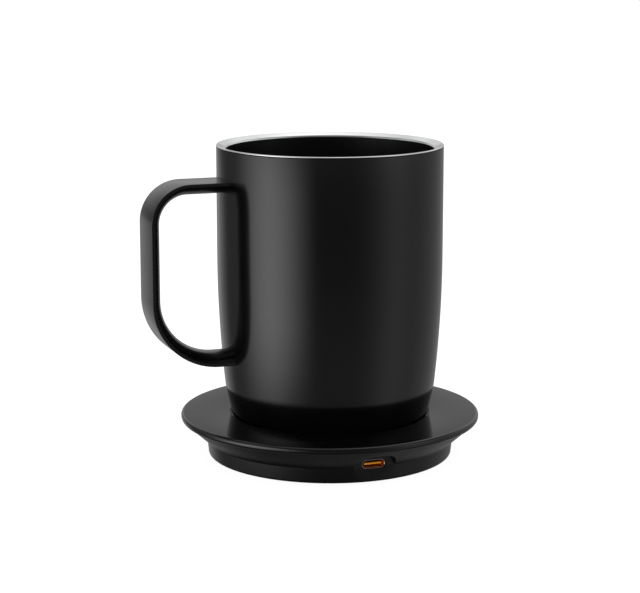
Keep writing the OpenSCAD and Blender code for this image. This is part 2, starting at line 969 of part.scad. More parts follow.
// Parts soldered to the charging board
module charging_components() {
    color(chip_black)
        translate([0, 0, charge_top_z]) {
            chips(charging_chips);
            chip_row(charging_row_n, charging_row_pitch, charging_row_y, small_part);
            translate(charging_can_at)
                cylinder(r = charging_can_r, h = charging_can_h);
        }
}

// Steel sleeve of the charging socket, closed at the back
module usb_c_shell() {
    color(steel) {
        facing_front(usb_front_y, usb_l)
            difference() {
                stadium(usb_w, usb_h);
                stadium(usb_w - 2 * usb_wall, usb_h - 2 * usb_wall);
            }
        facing_front(usb_back_y + usb_wall, usb_wall)
            stadium(usb_w, usb_h);
    }
}

// Moulded insulator with the flat tongue
module usb_c_tongue() {
    block_front_y = usb_front_y - tongue_back - tongue_l;
    block_l = block_front_y - usb_back_y - usb_wall;
    color(socket_orange) {
        facing_front(block_front_y, block_l)
            stadium(usb_w - 2 * usb_wall - slip, usb_h - 2 * usb_wall - slip);
        facing_front(usb_front_y - tongue_back, tongue_l)
            square([tongue_w, tongue_t], center = true);
    }
}

// Rows of contacts on both faces of the tongue
module usb_c_contacts() {
    row_w = (contact_count - 1) * contact_pitch;
    contact_y = usb_front_y - tongue_back - contact_back;
    color(gold)
        facing_front(contact_y, contact_l)
            for (i = [0 : contact_count - 1], side = [-1, 1])
                translate([i * contact_pitch - row_w / 2, side * (tongue_t + contact_t) / 2])
                    square([contact_w, contact_t], center = true);
}

// Brass barrels that stand on the charging board and guide the pins
module pin_barrels() {
    color(gold)
        for (x = [pin_in_r, -pin_out_r])
            translate([x, 0, charge_top_z])
                difference() {
                    cylinder(r = barrel_r, h = barrel_top_z - charge_top_z);
                    translate([0, 0, barrel_floor])
                        cylinder(
                            r = collar_r + slip,
                            h = barrel_top_z - barrel_mouth - charge_top_z - barrel_floor
                        );
                    translate([0, 0, barrel_floor])
                        cylinder(r = pin_r + slip, h = barrel_top_z - charge_top_z);
                }
}

// Sprung contact pin with a round tip and the collar that its spring pushes
module contact_pin(x) {
    color(gold)
        translate([x, 0, 0]) {
            translate([0, 0, collar_top_z - collar_h])
                cylinder(r = collar_r, h = collar_h);
            translate([0, 0, collar_top_z])
                cylinder(r = pin_r, h = pin_tip_z - pin_r - collar_top_z);
            translate([0, 0, pin_tip_z - pin_r])
                sphere(r = pin_r, $fn = 48);
        }
}

module contact_pin_inner() {
    contact_pin(pin_in_r);
}

module contact_pin_outer() {
    contact_pin(-pin_out_r);
}

// Points of one ring of a coil spring, at a share of its length
function coil_ring(share, coil_r, length) = [
    for (s = [0 : spring_sides - 1])
        let (
            turn = 360 * spring_turns * share,
            side = 360 * s / spring_sides,
            r = coil_r + spring_wire_r * cos(side)
        )
        [r * cos(turn), r * sin(turn), length * share + spring_wire_r * sin(side)]
];

// Coil spring under a pin's collar
module pin_spring(x) {
    low_z = charge_top_z + barrel_floor + spring_wire_r + slip;
    high_z = collar_top_z - collar_h - spring_wire_r - slip;
    coil_r = collar_r - spring_wire_r - slip;
    last = spring_turns * spring_rings;
    points = [for (k = [0 : last]) each coil_ring(k / last, coil_r, high_z - low_z)];
    walls = [
        for (k = [0 : last - 1], s = [0 : spring_sides - 1])
            let (
                a = k * spring_sides + s,
                b = k * spring_sides + (s + 1) % spring_sides
            )
            each [[a, b, a + spring_sides], [b, b + spring_sides, a + spring_sides]]
    ];
    start_cap = [for (s = [1 : spring_sides - 2]) [0, s + 1, s]];
    end_cap = [
        for (s = [1 : spring_sides - 2])
            let (first = last * spring_sides)
            [first, first + s, first + s + 1]
    ];
    color(steel)
        translate([x, 0, low_z])
            polyhedron(points, concat(walls, start_cap, end_cap));
}

module pin_spring_inner() {
    pin_spring(pin_in_r);
}

module pin_spring_outer() {
    pin_spring(-pin_out_r);
}

outer_shell();
inner_vessel();
ceramic_lining();
handle();
heater_film();
temperature_sensor();
insulation_pad();
battery_tray();
battery_cells();
control_board();
board_components();
tact_switch();
bottom_cover();
base_seal();
mug_foot();
cover_screws();
contact_ring_inner();
contact_ring_outer();
power_button();
switch_plunger();
coaster_top();
coaster_housing();
coaster_base();
coaster_foot();
coaster_screws();
charging_board();
charging_components();
usb_c_shell();
usb_c_tongue();
usb_c_contacts();
pin_barrels();
contact_pin_inner();
contact_pin_outer();
pin_spring_inner();
pin_spring_outer();
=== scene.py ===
"""Self-heating mug on its charging coaster: visible pieces, finishes and stage round the CAD."""

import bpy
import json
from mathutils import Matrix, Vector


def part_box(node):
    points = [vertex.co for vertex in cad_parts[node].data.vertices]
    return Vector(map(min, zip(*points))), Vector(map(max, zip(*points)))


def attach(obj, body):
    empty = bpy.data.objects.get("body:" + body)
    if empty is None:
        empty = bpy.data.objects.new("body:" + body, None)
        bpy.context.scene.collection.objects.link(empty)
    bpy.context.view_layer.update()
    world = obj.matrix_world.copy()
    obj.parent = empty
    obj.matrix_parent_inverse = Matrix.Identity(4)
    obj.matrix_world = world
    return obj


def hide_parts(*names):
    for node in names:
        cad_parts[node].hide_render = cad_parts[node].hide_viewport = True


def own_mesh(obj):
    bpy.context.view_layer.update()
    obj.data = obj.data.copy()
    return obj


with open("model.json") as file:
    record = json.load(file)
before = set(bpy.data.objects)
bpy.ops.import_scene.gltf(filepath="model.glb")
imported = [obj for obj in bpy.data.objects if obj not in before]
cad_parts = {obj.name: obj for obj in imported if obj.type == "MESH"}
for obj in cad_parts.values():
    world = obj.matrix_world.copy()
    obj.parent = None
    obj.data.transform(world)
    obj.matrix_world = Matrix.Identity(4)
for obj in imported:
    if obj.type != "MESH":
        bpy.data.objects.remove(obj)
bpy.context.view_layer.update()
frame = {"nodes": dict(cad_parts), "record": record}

import json
import math

import bpy
from bpy.props import FloatProperty, FloatVectorProperty, PointerProperty
from mathutils import Vector

bl_info = {
    "name": "Self-heating mug",
    "version": (1, 0, 0),
    "blender": (4, 5, 0),
    "location": "View3D > Sidebar > Mug",
    "description": "Builds the visible pieces of a self-heating mug and its charging coaster",
    "category": "Object",
}

# Points closer than this gap merge, and faces that meet at less than this angle look smooth
MERGE_GAP = 1e-6
SMOOTH_ANGLE = math.radians(32)

# Kinds and numbers of node sockets, and the soft way from one level to another
FLOAT = "NodeSocketFloat"
MIX_VALUES = (2, 3)
MIX_COLOURS = (6, 7)
MIX_COLOUR_OUT = 2
SOFT = "SMOOTHSTEP"

# Facets along curves
TURN_STEPS = 256
BEND_STEPS = 28
CROWN_STEPS = 24
BELLY_STEPS = 24
BLEND_STEPS = 10
CUP_STEPS = 18
CUP_CORNER_STEPS = 14
FLANGE_STEPS = 10
POCKET_STEPS = 16
SOCKET_STEPS = 20
LIP_STEPS = 8
ARC_STEPS = 6
SEAM_STEPS = 3
ROD_SIDES = 48
FLOOR_SIDES = 96

# Small radii, in metres
SEAM_R = 0.00006
LIP_FOLD_R = 0.0001
LIP_FLAT_R = 0.0006
LIP_TURN_R = 0.0002
LIP_FOOT_R = 0.00005
RING_FOOT_R = 0.0011
RING_SEAT_R = 0.0002
CREASE_R = 0.0002
CONE_TOP_R = 0.0001
PAD_FOOT_R = 0.0003
PAD_TOP_R = 0.0002
TONGUE_ROOT_R = 0.00006
TONGUE_NOSE_R = 0.00012

# Small distances, in metres
CUP_JOIN_DEPTH = 0.001
LEDGE_W = 0.0012
PORT_WALL_RIM = 0.0016
PORT_WALL_SKIN = 0.0005
PORT_WALL_LIFT = 0.0001
CUTTER_SPARE = 0.001
MOUTH_DEPTH = 0.012
LINER_SETBACK = 0.0006
TONGUE_SINK = 0.0002
LINING_T = 0.00035

# Run of the step inside the lip, for each unit of its rise
STEP_LEAN = 0.5

# Depth of the bump on coats and on polish, in metres, and polish lines in a metre
GRAIN_DEPTH = 0.00004
POLISH_DEPTH = 0.00001
POLISH_PITCH = 9000.0

# Scale of the slow clouds in the grain, against the fine ones, and their share of its height
SLOW_SCALE = 0.21
SLOW_SHARE = 0.35

# Handling marks: their scale, the ends of their clouds, and how far they darken metal
COAT_RUB_SCALE = 38.0
METAL_RUB_SCALE = 90.0
RUB_ENDS = (0.36, 0.66)
METAL_RUB_SHADE = 0.93

# Floor: its inner ring, clouds and two tones, and the glow and share of white that the camera sees
FLOOR_INSET = 0.8
FLOOR_CLOUDS = 6.0
FLOOR_DARK = (0.86, 0.86, 0.86)
FLOOR_LIGHT = (0.9, 0.9, 0.9)
FLOOR_GLOW = 1.18
FLOOR_SHARE = 0.8

# Light that the pieces mirror, by the height it comes from, -1 straight below to 1 straight above:
# where a soft step begins and ends, and the levels there
HEIGHT_STEPS = {
    "front": (-0.1, -0.45, 0.1, 0.21),
    "sky": (0.0, 0.22, 1.0, 1.9),
    "upper": (0.4, 0.62, 1.0, 0.3),
    "ground": (-0.75, -0.4, 0.3, 1.0),
    "card_foot": (-0.49, -0.27, 0.0, 2.2),
    "card_head": (0.3, 0.0, 0.0, 1.0),
    "glow_top": (-0.5, -0.66, 0.0, 1.0),
    "glow_foot": (-0.97, -0.85, 0.3, 1.0),
    "fill_top": (-0.02, -0.12, 0.0, 1.0),
    "fill_foot": (-0.46, -0.34, 0.0, 1.0),
}
ZENITH_STEP = (0.57, 1.15, 0.0, 0.95)

# The same by azimuth, in degrees from the camera's own: the cosines where a step begins and ends,
# and the levels there
AZIMUTH_STEPS = {
    "rear": (200, -0.3, 0.5, 1.0, 0.51),
    "side": (108, 0.62, 0.97, 1.0, 0.42),
    "card": (61, 0.6, 1.0, 0.0, 1.0, "LINEAR"),
    "behind": (180, 0.6, 0.9, 0.0, 0.3),
    "lean": (250, 0.0, 0.65, 0.8, 1.15),
    "glow": (195, 0.5, 0.95, 0.0, 0.13),
    "fill": (148, 0.93, 1.0, 0.0, 0.2),
}
WALL_ENDS = (0, 0.98, 0.15)
WALL_LEVEL = 0.67
CARD_POWER = 2.45
EVEN_LEVEL = 0.8

# Camera: width of its sensor, and how near and far it sees, in metres
SENSOR_MM = 36.0
CLIP_ENDS = (0.01, 20)


# Sizes and colours

def low(node):
    """Lowest corner of a CAD node."""
    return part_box(node)[0]


def high(node):
    """Highest corner of a CAD node."""
    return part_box(node)[1]


def span(node):
    """Size of a CAD node's box."""
    return high(node) - low(node)


def port_height():
    """Height of the charging socket's middle."""
    return (low("usb_c_shell").z + high("usb_c_shell").z) / 2


def length(name, description, default):
    """A length in metres that a user may change."""
    return FloatProperty(
        name=name, description=description, default=default, unit="LENGTH", precision=5,
    )


def angle(name, description, degrees):
    """An angle that a user may change."""
    return FloatProperty(
        name=name, description=description, default=math.radians(degrees), subtype="ANGLE",
    )


def colour(name, description, default):
    """A linear colour that a user may change."""
    return FloatVectorProperty(
        name=name, description=description, default=default, subtype="COLOR", size=3, min=0, max=1,
    )


class MugSizes(bpy.types.PropertyGroup):
    rim_r: length("Rim radius", "Outer radius of the mug at its rim", high("inner_vessel").x)
    lip_z: length("Lip height", "Top of the steel lip", high("inner_vessel").z)
    seam_z: length("Seam height", "Where the shell ends under the lip", high("outer_shell").z)
    seam_gap: length("Seam gap", "Fine groove between shell and lip", 0.00025)
    seam_rise: length("Lip's lower edge", "Height of the lip's lower edge above the seam", 0.00012)
    shell_z: length("Shell bottom", "Lower edge of the painted shell", low("outer_shell").z)
    belly_z: length("Belly height", "Where the straight wall starts to draw in", 0.0763)
    belly_r: length("Belly radius", "Radius of the long arc that draws the wall in", 0.455)
    kink_z: length("Band height", "Top of the lower band", 0.0264)
    band_lean: angle("Band lean", "Lean of the lower band from the vertical", 13)
    blend_r: length("Blend radius", "Radius that softens the kink above the lower band", 0.03)
    shell_t: length("Shell sheet", "Sheet thickness of the painted shell", 0.0009)
    wall_t: length("Wall", "Whole wall from the lining's face to the outside", 0.00365)
    vessel_t: length("Vessel sheet", "Sheet thickness of the steel vessel", 0.0007)
    lining_t: length("Lining", "Thickness of the ceramic lining", LINING_T)
    floor_z: length("Cup floor", "Height of the cup's floor", low("ceramic_lining").z + LINING_T)
    floor_corner_r: length("Floor corner", "Radius between the cup's wall and floor", 0.008)
    lip_flat: length("Lip flat", "Width of the lip's flat top", 0.0007)
    lip_bevel_h: length("Lip bevel", "Height of the bevel inside the lip", 0.0017)
    lip_step_h: length("Lip step", "Bare steel below the bevel, down to the lining", 0.0007)
    lip_round: length("Lip edge", "Radius on the lip's outer edge", 0.00028)


class HandleSizes(bpy.types.PropertyGroup):
    grip_x: length("Grip face", "Outer face of the grip, from the axis", -low("handle").x)
    top_z: length("Upper face", "Upper face of the handle", high("handle").z)
    low_z: length("Lower face", "Lower face of the handle", low("handle").z)
    width: length("Strap width", "Width of the strap", span("handle").y)
    side: length("Strap side", "Height of the strap's flat sides", 0.0012)
    crown: length("Strap crown", "Crown of the strap's rounded inner face", 0.0034)
    top_r: length("Upper bend", "Outer radius of the upper bend", 0.0149)
    low_r: length("Lower bend", "Outer radius of the lower bend", 0.02505)
    edge_r: length("Strap edge", "Small radius on the strap's long edges", 0.0003)
    root: length("Root depth", "How far the ends reach into the shell's wall", 0.0016)


class CoasterSizes(bpy.types.PropertyGroup):
    flange_r: length("Flange radius", "Radius of the coaster's flange", min(high("coaster_top").xy))
    top_z: length("Coaster height", "Upper face of the flange", high("coaster_top").z)
    flange_t: length("Flange thickness", "Thickness of the flange", 0.0028)
    flange_top_r: length("Flange edge", "Radius on the flange's upper edge", 0.0011)
    flange_low_r: length("Flange lower edge", "Radius on the flange's lower edge", 0.0013)
    well_r: length("Well radius", "Radius of the well that the mug stands in", 0.03767)
    well_z: length("Well floor", "Height of the well's floor", low("mug_foot").z)
    pan_t: length("Pan", "Thickness of the well's floor", 0.0018)
    well_edge_r: length("Well edge", "Small radius on the well's upper edge", 0.00012)
    crease_r: length("Crease radius", "Where the sloped side meets the foot ring", 0.0464)
    crease_z: length("Crease height", "Height of that crease", 0.00605)
    ring_r: length("Ring radius", "Radius of the foot ring's lower edge", 0.0458)
    ring_z: length("Ring bottom", "Height of the foot ring's lower edge", low("coaster_housing").z)
    wall_t: length("Housing wall", "Wall of the housing", 0.0022)
    plate_z: length("Base plate", "Upper face of the base plate", 0.0023)
    pin_in_x: length("Inner pin", "Place of the inner contact pin", 0.011)
    pin_out_x: length("Outer pin", "Place of the outer contact pin", -0.017)
    pin_hole_r: length("Pin hole", "Radius of the holes for the contact pins", 0.0013)


class SocketSizes(bpy.types.PropertyGroup):
    width: length("Sleeve width", "Width of the socket's steel sleeve", span("usb_c_shell").x)
    height: length("Sleeve height", "Height of the steel sleeve", span("usb_c_shell").z)
    front_y: length("Sleeve front", "Front edge of the steel sleeve", low("usb_c_shell").y)
    back_y: length("Sleeve back", "Back of the steel sleeve", high("usb_c_shell").y)
    wall: length("Sleeve wall", "Sheet thickness of the sleeve", 0.0003)
    lead_in: length("Lead-in", "Slope inside the sleeve's front edge", 0.00012)
    gap: length("Socket gap", "Gap between sleeve and housing", 0.0002)
    tongue_w: length("Tongue width", "Width of the tongue", 0.00669)
    tongue_t: length("Tongue thickness", "Thickness of the tongue", 0.0007)
    # The tongue's nose is a painted highlight: a brighter copy of the orange on its front, the rest
    # in painted shade
    nose_l: length("Tongue nose", "Length of the tongue's brighter front", 0.00025)
    tongue_y: length("Tongue front", "Front edge of the tongue", low("usb_c_tongue").y)
    block_y: length("Insulator front", "Front of the insulator behind the tongue", -0.04)
    liner: length("Insulator liner", "Thickness of the insulator inside the sleeve", 0.00012)
    pocket_y: length("Pocket floor", "Flat floor of the pocket round the socket", -0.0457)
    pocket_w: length("Pocket width", "Width of the pocket", 0.0157)
    pocket_top_z: length("Pocket top", "Upper edge of the pocket", 0.01158)
    pocket_corner_r: length("Pocket corner", "Radius of the pocket's upper corners", 0.0056)


class FinishColours(bpy.types.PropertyGroup):
    coat: colour("Powder coat", "Satin black of shell and handle", (0.002, 0.002, 0.0021))
    coaster: colour("Coaster", "Satin black of the coaster", (0.0014, 0.0014, 0.0015))
    lining: colour("Lining", "Black of the ceramic lining", (0.002, 0.002, 0.0021))
    steel: colour("Steel", "Polished steel of the lip", (0.91, 0.92, 0.93))
    plastic: colour("Base plastic", "Moulded plastic of the hidden covers", (0.016, 0.016, 0.017))
    silicone: colour("Silicone", "Soft feet and seal", (0.03, 0.03, 0.032))
    # Insulator orange is darkened as painted shade for the inside of the socket
    orange: colour("Insulator", "Orange insulator of the socket", (0.5, 0.085, 0.004))
    # Tongue orange is a brighter, lit copy of the insulator orange: painted light on the tongue's
    # front
    tongue: colour("Tongue", "Brighter orange of the socket's tongue", (0.98, 0.37, 0.015))
    gold: colour("Contacts", "Gold plate of rings and pins", (0.8, 0.55, 0.2))
    # Socket contact colour is gold darkened as painted shade for their place deep in the socket
    contact: colour("Socket contacts", "Dull plate of the socket's contacts", (0.3, 0.15, 0.03))
    sleeve: colour("Sleeve", "Dull plate of the socket's sleeve", (0.38, 0.36, 0.34))
    nickel: colour("Nickel", "Nickel plate of screws and springs", (0.66, 0.66, 0.68))
    board: colour("Boards", "Solder mask of the circuit boards", (0.014, 0.08, 0.035))
    chip: colour("Chips", "Moulded packages on the boards", (0.02, 0.02, 0.022))
    film: colour("Heater", "Amber film of the heater", (0.45, 0.16, 0.03))
    fibre: colour("Insulation", "Pressed fibre under the heater", (0.68, 0.66, 0.6))
    foil: colour("Cells", "Foil of the battery cells", (0.5, 0.51, 0.53))


class StageSizes(bpy.types.PropertyGroup):
    camera_at: FloatVectorProperty(
        name="Camera", description="Place of the camera",
        default=(-0.24474, -0.66126, 0.19702), subtype="XYZ", size=3,
    )
    camera_tilt: angle("Tilt", "How far the camera looks down", 11.023)
    camera_turn: angle("Turn", "How far the camera stands round towards the handle", 20.011)
    lens: FloatProperty(name="Lens", description="Focal length in millimetres", default=107.833)
    floor_r: length("Floor", "Radius of the pale floor", 3.0)


# Outlines

def arc(x, z, r, start, end, steps, first=0):
    """Points along an arc, angles in radians, with or without its first point."""
    angles = [start + (end - start) * i / steps for i in range(first, steps + 1)]
    return [(x + r * math.cos(a), z + r * math.sin(a)) for a in angles]


def eased(corners, closed=True, steps=ARC_STEPS):
    """Outline through corners of (x, z, radius), each with a radius turned into a small arc."""
    points = []
    count = len(corners)
    for i, (x, z, r) in enumerate(corners):
        if r <= 0 or (not closed and i in (0, count - 1)):
            points.append((x, z))
            continue
        here = Vector((x, z))
        back = (Vector(corners[i - 1][:2]) - here).normalized()
        on = (Vector(corners[(i + 1) % count][:2]) - here).normalized()
        half = back.angle(on) / 2
        centre = here + (back + on).normalized() * (r / math.sin(half))
        first = here + back * (r / math.tan(half)) - centre
        last = here + on * (r / math.tan(half)) - centre
        turn = first.angle_signed(last)
        for k in range(steps + 1):
            a = math.atan2(first.y, first.x) - turn * k / steps
            points.append((centre.x + r * math.cos(a), centre.y + r * math.sin(a)))
    return points


def belly_radius(m, z):
    """Outer radius of the mug at a height on its long arc or on the straight wall above."""
    return m.rim_r - m.belly_r + math.sqrt(m.belly_r ** 2 - max(0, m.belly_z - z) ** 2)


def band_radius(m, z, inset):
    """Radius of the leaning lower band at a height, drawn in by an even inset."""
    kink_r = belly_radius(m, m.kink_z)
    return kink_r - (m.kink_z - z) * math.tan(m.band_lean) - inset / math.cos(m.band_lean)


def body_line(m, inset, top_z):
    """Side of the mug from the shell's lower edge to a height, drawn in by an even inset."""
    belly_x = m.rim_r - m.belly_r
    kink_a = math.asin((m.belly_z - m.kink_z) / m.belly_r)
    inner = m.belly_r - m.blend_r
    reach = m.belly_r * math.cos(m.band_lean - kink_a) - m.blend_r
    blend_a = m.band_lean - math.acos(reach / inner)
    blend_x = belly_x + inner * math.cos(blend_a)
    blend_z = m.belly_z - inner * math.sin(blend_a)
    return (
        [(band_radius(m, m.shell_z, inset), m.shell_z)]
        + arc(blend_x, blend_z, m.blend_r - inset, -m.band_lean, -blend_a, BLEND_STEPS)
        + arc(belly_x, m.belly_z, m.belly_r - inset, -blend_a, 0, BELLY_STEPS, 1)
        + [(m.rim_r - inset, top_z)]
    )


def cup_line(m, inset, floor_z, corner_r, top_z):
    """Cup from the middle of its floor to a height, with a rounded floor corner."""
    belly_x = m.rim_r - m.belly_r
    corner_z = floor_z + corner_r
    reach = m.belly_r - inset - corner_r
    corner_a = math.asin((m.belly_z - corner_z) / reach)
    corner_x = belly_x + reach * math.cos(corner_a)
    return (
        [(0, floor_z)]
        + arc(corner_x, corner_z, corner_r, -math.pi / 2, -corner_a, CUP_CORNER_STEPS)
        + arc(belly_x, m.belly_z, m.belly_r - inset, -corner_a, 0, CUP_STEPS, 1)
        + [(m.rim_r - inset, top_z)]
    )


def stadium(width, height, mid_z):
    """Outline with round ends about a height on the Z axis."""
    r = height / 2
    x = width / 2 - r
    quarter = math.pi / 2
    ends = (
        arc(x, 0, r, -quarter, quarter, SOCKET_STEPS)
        + arc(-x, 0, r, quarter, 3 * quarter, SOCKET_STEPS)
    )
    return [(px, pz + mid_z) for px, pz in ends]


# Modelling steps

def start(primitive, **where):
    """Adds one primitive with nothing else selected, and opens it for editing."""
    bpy.ops.object.select_all(action="DESELECT")
    primitive(**where)
    bpy.ops.object.mode_set(mode="EDIT")
    return bpy.context.object


def chain(points):
    """Starts a piece as a line of vertices through points."""
    piece = start(bpy.ops.mesh.primitive_plane_add, size=0.001, location=points[0])
    bpy.ops.mesh.merge(type="CENTER")
    for here, there in zip(points, points[1:]):
        step = Vector(there) - Vector(here)
        bpy.ops.mesh.extrude_vertices_move(TRANSFORM_OT_translate={"value": step})
    bpy.ops.mesh.select_all(action="SELECT")
    return piece


def face(points):
    """Starts a piece as one flat face with this outline."""
    piece = chain(points)
    bpy.ops.mesh.edge_face_add()
    return piece


def pull(x, y, z):
    """Extrudes what is selected."""
    bpy.ops.mesh.extrude_region_move(TRANSFORM_OT_translate={"value": (x, y, z)})


def close(name):
    """Merges doubles, turns the faces outwards, applies the place and names the piece."""
    bpy.ops.mesh.select_all(action="SELECT")
    bpy.ops.mesh.remove_doubles(threshold=MERGE_GAP)
    bpy.ops.mesh.normals_make_consistent(inside=False)
    bpy.ops.object.mode_set(mode="OBJECT")
    bpy.ops.object.transform_apply(location=True, rotation=True, scale=True)
    bpy.ops.object.shade_smooth_by_angle(angle=SMOOTH_ANGLE)
    piece = bpy.context.object
    piece.name = piece.data.name = name
    return piece


def turned(name, outline):
    """Turns an outline of (radius, height) points about the Z axis."""
    chain([(r, 0, z) for r, z in outline])
    bpy.ops.mesh.spin(
        steps=TURN_STEPS, angle=2 * math.pi, center=(0, 0, 0), axis=(0, 0, 1), use_auto_merge=True,
    )
    return close(name)


def looped(outline):
    """An outline that comes back to its first point."""
    return outline + outline[:1]


def combine(piece, other, operation):
    """Cuts a piece by another, adds the two or keeps what they share, and removes the other."""
    bpy.ops.object.select_all(action="DESELECT")
    bpy.context.view_layer.objects.active = piece
    piece.select_set(True)
    bpy.ops.object.modifier_add(type="BOOLEAN")
    modifier = piece.modifiers[-1]
    modifier.operation = operation
    modifier.solver = "EXACT"
    modifier.object = other
    bpy.ops.object.modifier_apply(modifier=modifier.name)
    bpy.data.objects.remove(other)
    bpy.ops.object.shade_smooth_by_angle(angle=SMOOTH_ANGLE)


def cut(piece, cutter):
    """Takes a cutter's room out of a piece."""
    combine(piece, cutter, "DIFFERENCE")


def upright_prism(name, outline, front_y, depth):
    """A prism whose (x, z) outline stands upright at front_y and runs back along Y."""
    face([(x, front_y, z) for x, z in outline])
    pull(0, depth, 0)
    return close(name)


def rod(name, x, y, r, z0, z1):
    """An upright cylinder, used as a cutter."""
    start(
        bpy.ops.mesh.primitive_cylinder_add,
        vertices=ROD_SIDES, radius=r, depth=z1 - z0, location=(x, y, (z0 + z1) / 2),
    )
    return close(name)


def dress(piece, material, slot, body, *nodes):
    """Gives a piece its material, the body it rides on and the nodes it stands for; its slot is not
    used.
    """
    piece.data.materials.clear()
    piece.data.materials.append(material)
    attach(piece, body)
    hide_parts(*nodes)


# Materials

def node_group(name, inputs, outputs):
    """A new shader node group with named sockets."""
    group = bpy.data.node_groups.new(name, "ShaderNodeTree")
    for title, kind, default in inputs:
        group.interface.new_socket(title, in_out="INPUT", socket_type=kind).default_value = default
    for title, kind in outputs:
        group.interface.new_socket(title, in_out="OUTPUT", socket_type=kind)
    group.nodes.new("NodeGroupInput")
    group.nodes.new("NodeGroupOutput")
    return group


def add(tree, kind, sockets=None, **settings):
    """A shader node with its settings and socket values; a value that is an output gets linked."""
    node = tree.nodes.new("ShaderNode" + kind)
    for key, value in settings.items():
        setattr(node, key, value)
    for key, value in (sockets or {}).items():
        if isinstance(value, bpy.types.NodeSocket):
            tree.links.new(value, node.inputs[key])
        else:
            node.inputs[key].default_value = value
    return node


def joined(tree, operation, first, *others):
    """Several values joined by one operation, in turn."""
    for other in others:
        first = add(tree, "Math", {0: first, 1: other}, operation=operation).outputs[0]
    return first


def mixed(tree, factor, first, second):
    """A value between two others."""
    values = {"Factor": factor, MIX_VALUES[0]: first, MIX_VALUES[1]: second}
    return add(tree, "Mix", values).outputs[0]


def two_tone(tree, factor, dark, light):
    """A colour between two others."""
    tones = {"Factor": factor, MIX_COLOURS[0]: (*dark, 1), MIX_COLOURS[1]: (*light, 1)}
    return add(tree, "Mix", tones, data_type="RGBA").outputs[MIX_COLOUR_OUT]


def ramp(tree, value, near, far, at_near, at_far, fall="LINEAR"):
    """Goes from one level to another while a value goes from near to far."""
    ends = {
        "Value": value,
        "From Min": near, "From Max": far,
        "To Min": at_near, "To Max": at_far,
    }
    return add(tree, "MapRange", ends, interpolation_type=fall).outputs["Result"]


def clouds(tree, **values):
    """Noise through the piece's own space."""
    place = add(tree, "TexCoord").outputs["Object"]
    return add(tree, "TexNoise", {"Vector": place, **values}).outputs["Fac"]


def fine_grain(name):
    """Grain of a sprayed or moulded surface: a height for bump and a tone for colour."""
    group = node_group(name, [("Scale", FLOAT, 2400.0)], [("Height", FLOAT), ("Tone", FLOAT)])
    scale = group.nodes["Group Input"].outputs["Scale"]
    wide = joined(group, "MULTIPLY", scale, SLOW_SCALE)
    fine = clouds(group, Scale=scale, Detail=2.0, Roughness=0.5)
    slow = clouds(group, Scale=wide, Detail=1.0, Roughness=0.4)
    give = group.nodes["Group Output"].inputs
    group.links.new(mixed(group, SLOW_SHARE, fine, slow), give["Height"])
    group.links.new(slow, give["Tone"])
    return group


def handling_marks(name):
    """Faint marks of handling: a slow cloud with a few finer smears in it."""
    group = node_group(name, [("Scale", FLOAT, COAT_RUB_SCALE)], [("Rub", FLOAT)])
    scale = group.nodes["Group Input"].outputs["Scale"]
    cloud = clouds(group, Scale=scale, Detail=5.0, Roughness=0.62)
    shaped = ramp(group, cloud, *RUB_ENDS, 0, 1)
    group.links.new(shaped, group.nodes["Group Output"].inputs["Rub"])
    return group


def lathe_lines(name):
    """Fine rings left by turning and polishing about the Z axis."""
    group = node_group(name, [("Pitch", FLOAT, POLISH_PITCH)], [("Line", FLOAT)])
    pitch = group.nodes["Group Input"].outputs["Pitch"]
    place = add(group, "TexCoord").outputs["Object"]
    split = add(group, "SeparateXYZ", {"Vector": place})
    flat = add(group, "CombineXYZ", {"X": split.outputs["X"], "Y": split.outputs["Y"]})
    radius = add(group, "VectorMath", {0: flat.outputs[0]}, operation="LENGTH").outputs["Value"]
    across = joined(group, "ADD", radius, split.outputs["Z"])
    ring = joined(group, "MULTIPLY", across, pitch)
    lines = add(
        group, "TexNoise", {"W": ring, "Scale": 1.0, "Detail": 3.0, "Roughness": 0.7},
        noise_dimensions="1D",
    )
    group.links.new(lines.outputs["Fac"], group.nodes["Group Output"].inputs["Line"])
    return group


def placed(tree, effect, **values):
    """A node group, built when first used, placed in a material with its own values."""
    name = effect.__name__
    group = bpy.data.node_groups.get(name) or effect(name)
    node = add(tree, "Group", node_tree=group)
    for key, value in values.items():
        node.inputs[key].default_value = value
    return node.outputs


def new_finish(name):
    """A material with only its Principled shader; returns the material, its tree and the shader."""
    material = bpy.data.materials.new(name)
    material.use_nodes = True
    return material, material.node_tree, material.node_tree.nodes["Principled BSDF"]


def bump(tree, height, strength, distance):
    """A bump normal from a height."""
    relief = {"Height": height, "Strength": strength, "Distance": distance}
    return add(tree, "Bump", relief).outputs["Normal"]


def grained(name, tint, rough, scale, strength, specular=0.5, tone=0.18):
    """A coated, moulded or soft finish: roughness range, scale and strength of grain, and tone."""
    if name in bpy.data.materials:
        return bpy.data.materials[name]
    material, tree, shader = new_finish(name)
    grain = placed(tree, fine_grain, Scale=scale)
    rub = placed(tree, handling_marks, Scale=COAT_RUB_SCALE)
    light = [min(1, c * (1 + tone)) for c in tint]
    dark = [c * (1 - tone) for c in tint]
    tree.links.new(two_tone(tree, grain["Tone"], dark, light), shader.inputs["Base Color"])
    tree.links.new(ramp(tree, rub["Rub"], 0, 1, *rough), shader.inputs["Roughness"])
    tree.links.new(bump(tree, grain["Height"], strength, GRAIN_DEPTH), shader.inputs["Normal"])
    shader.inputs["Specular IOR Level"].default_value = specular
    return material


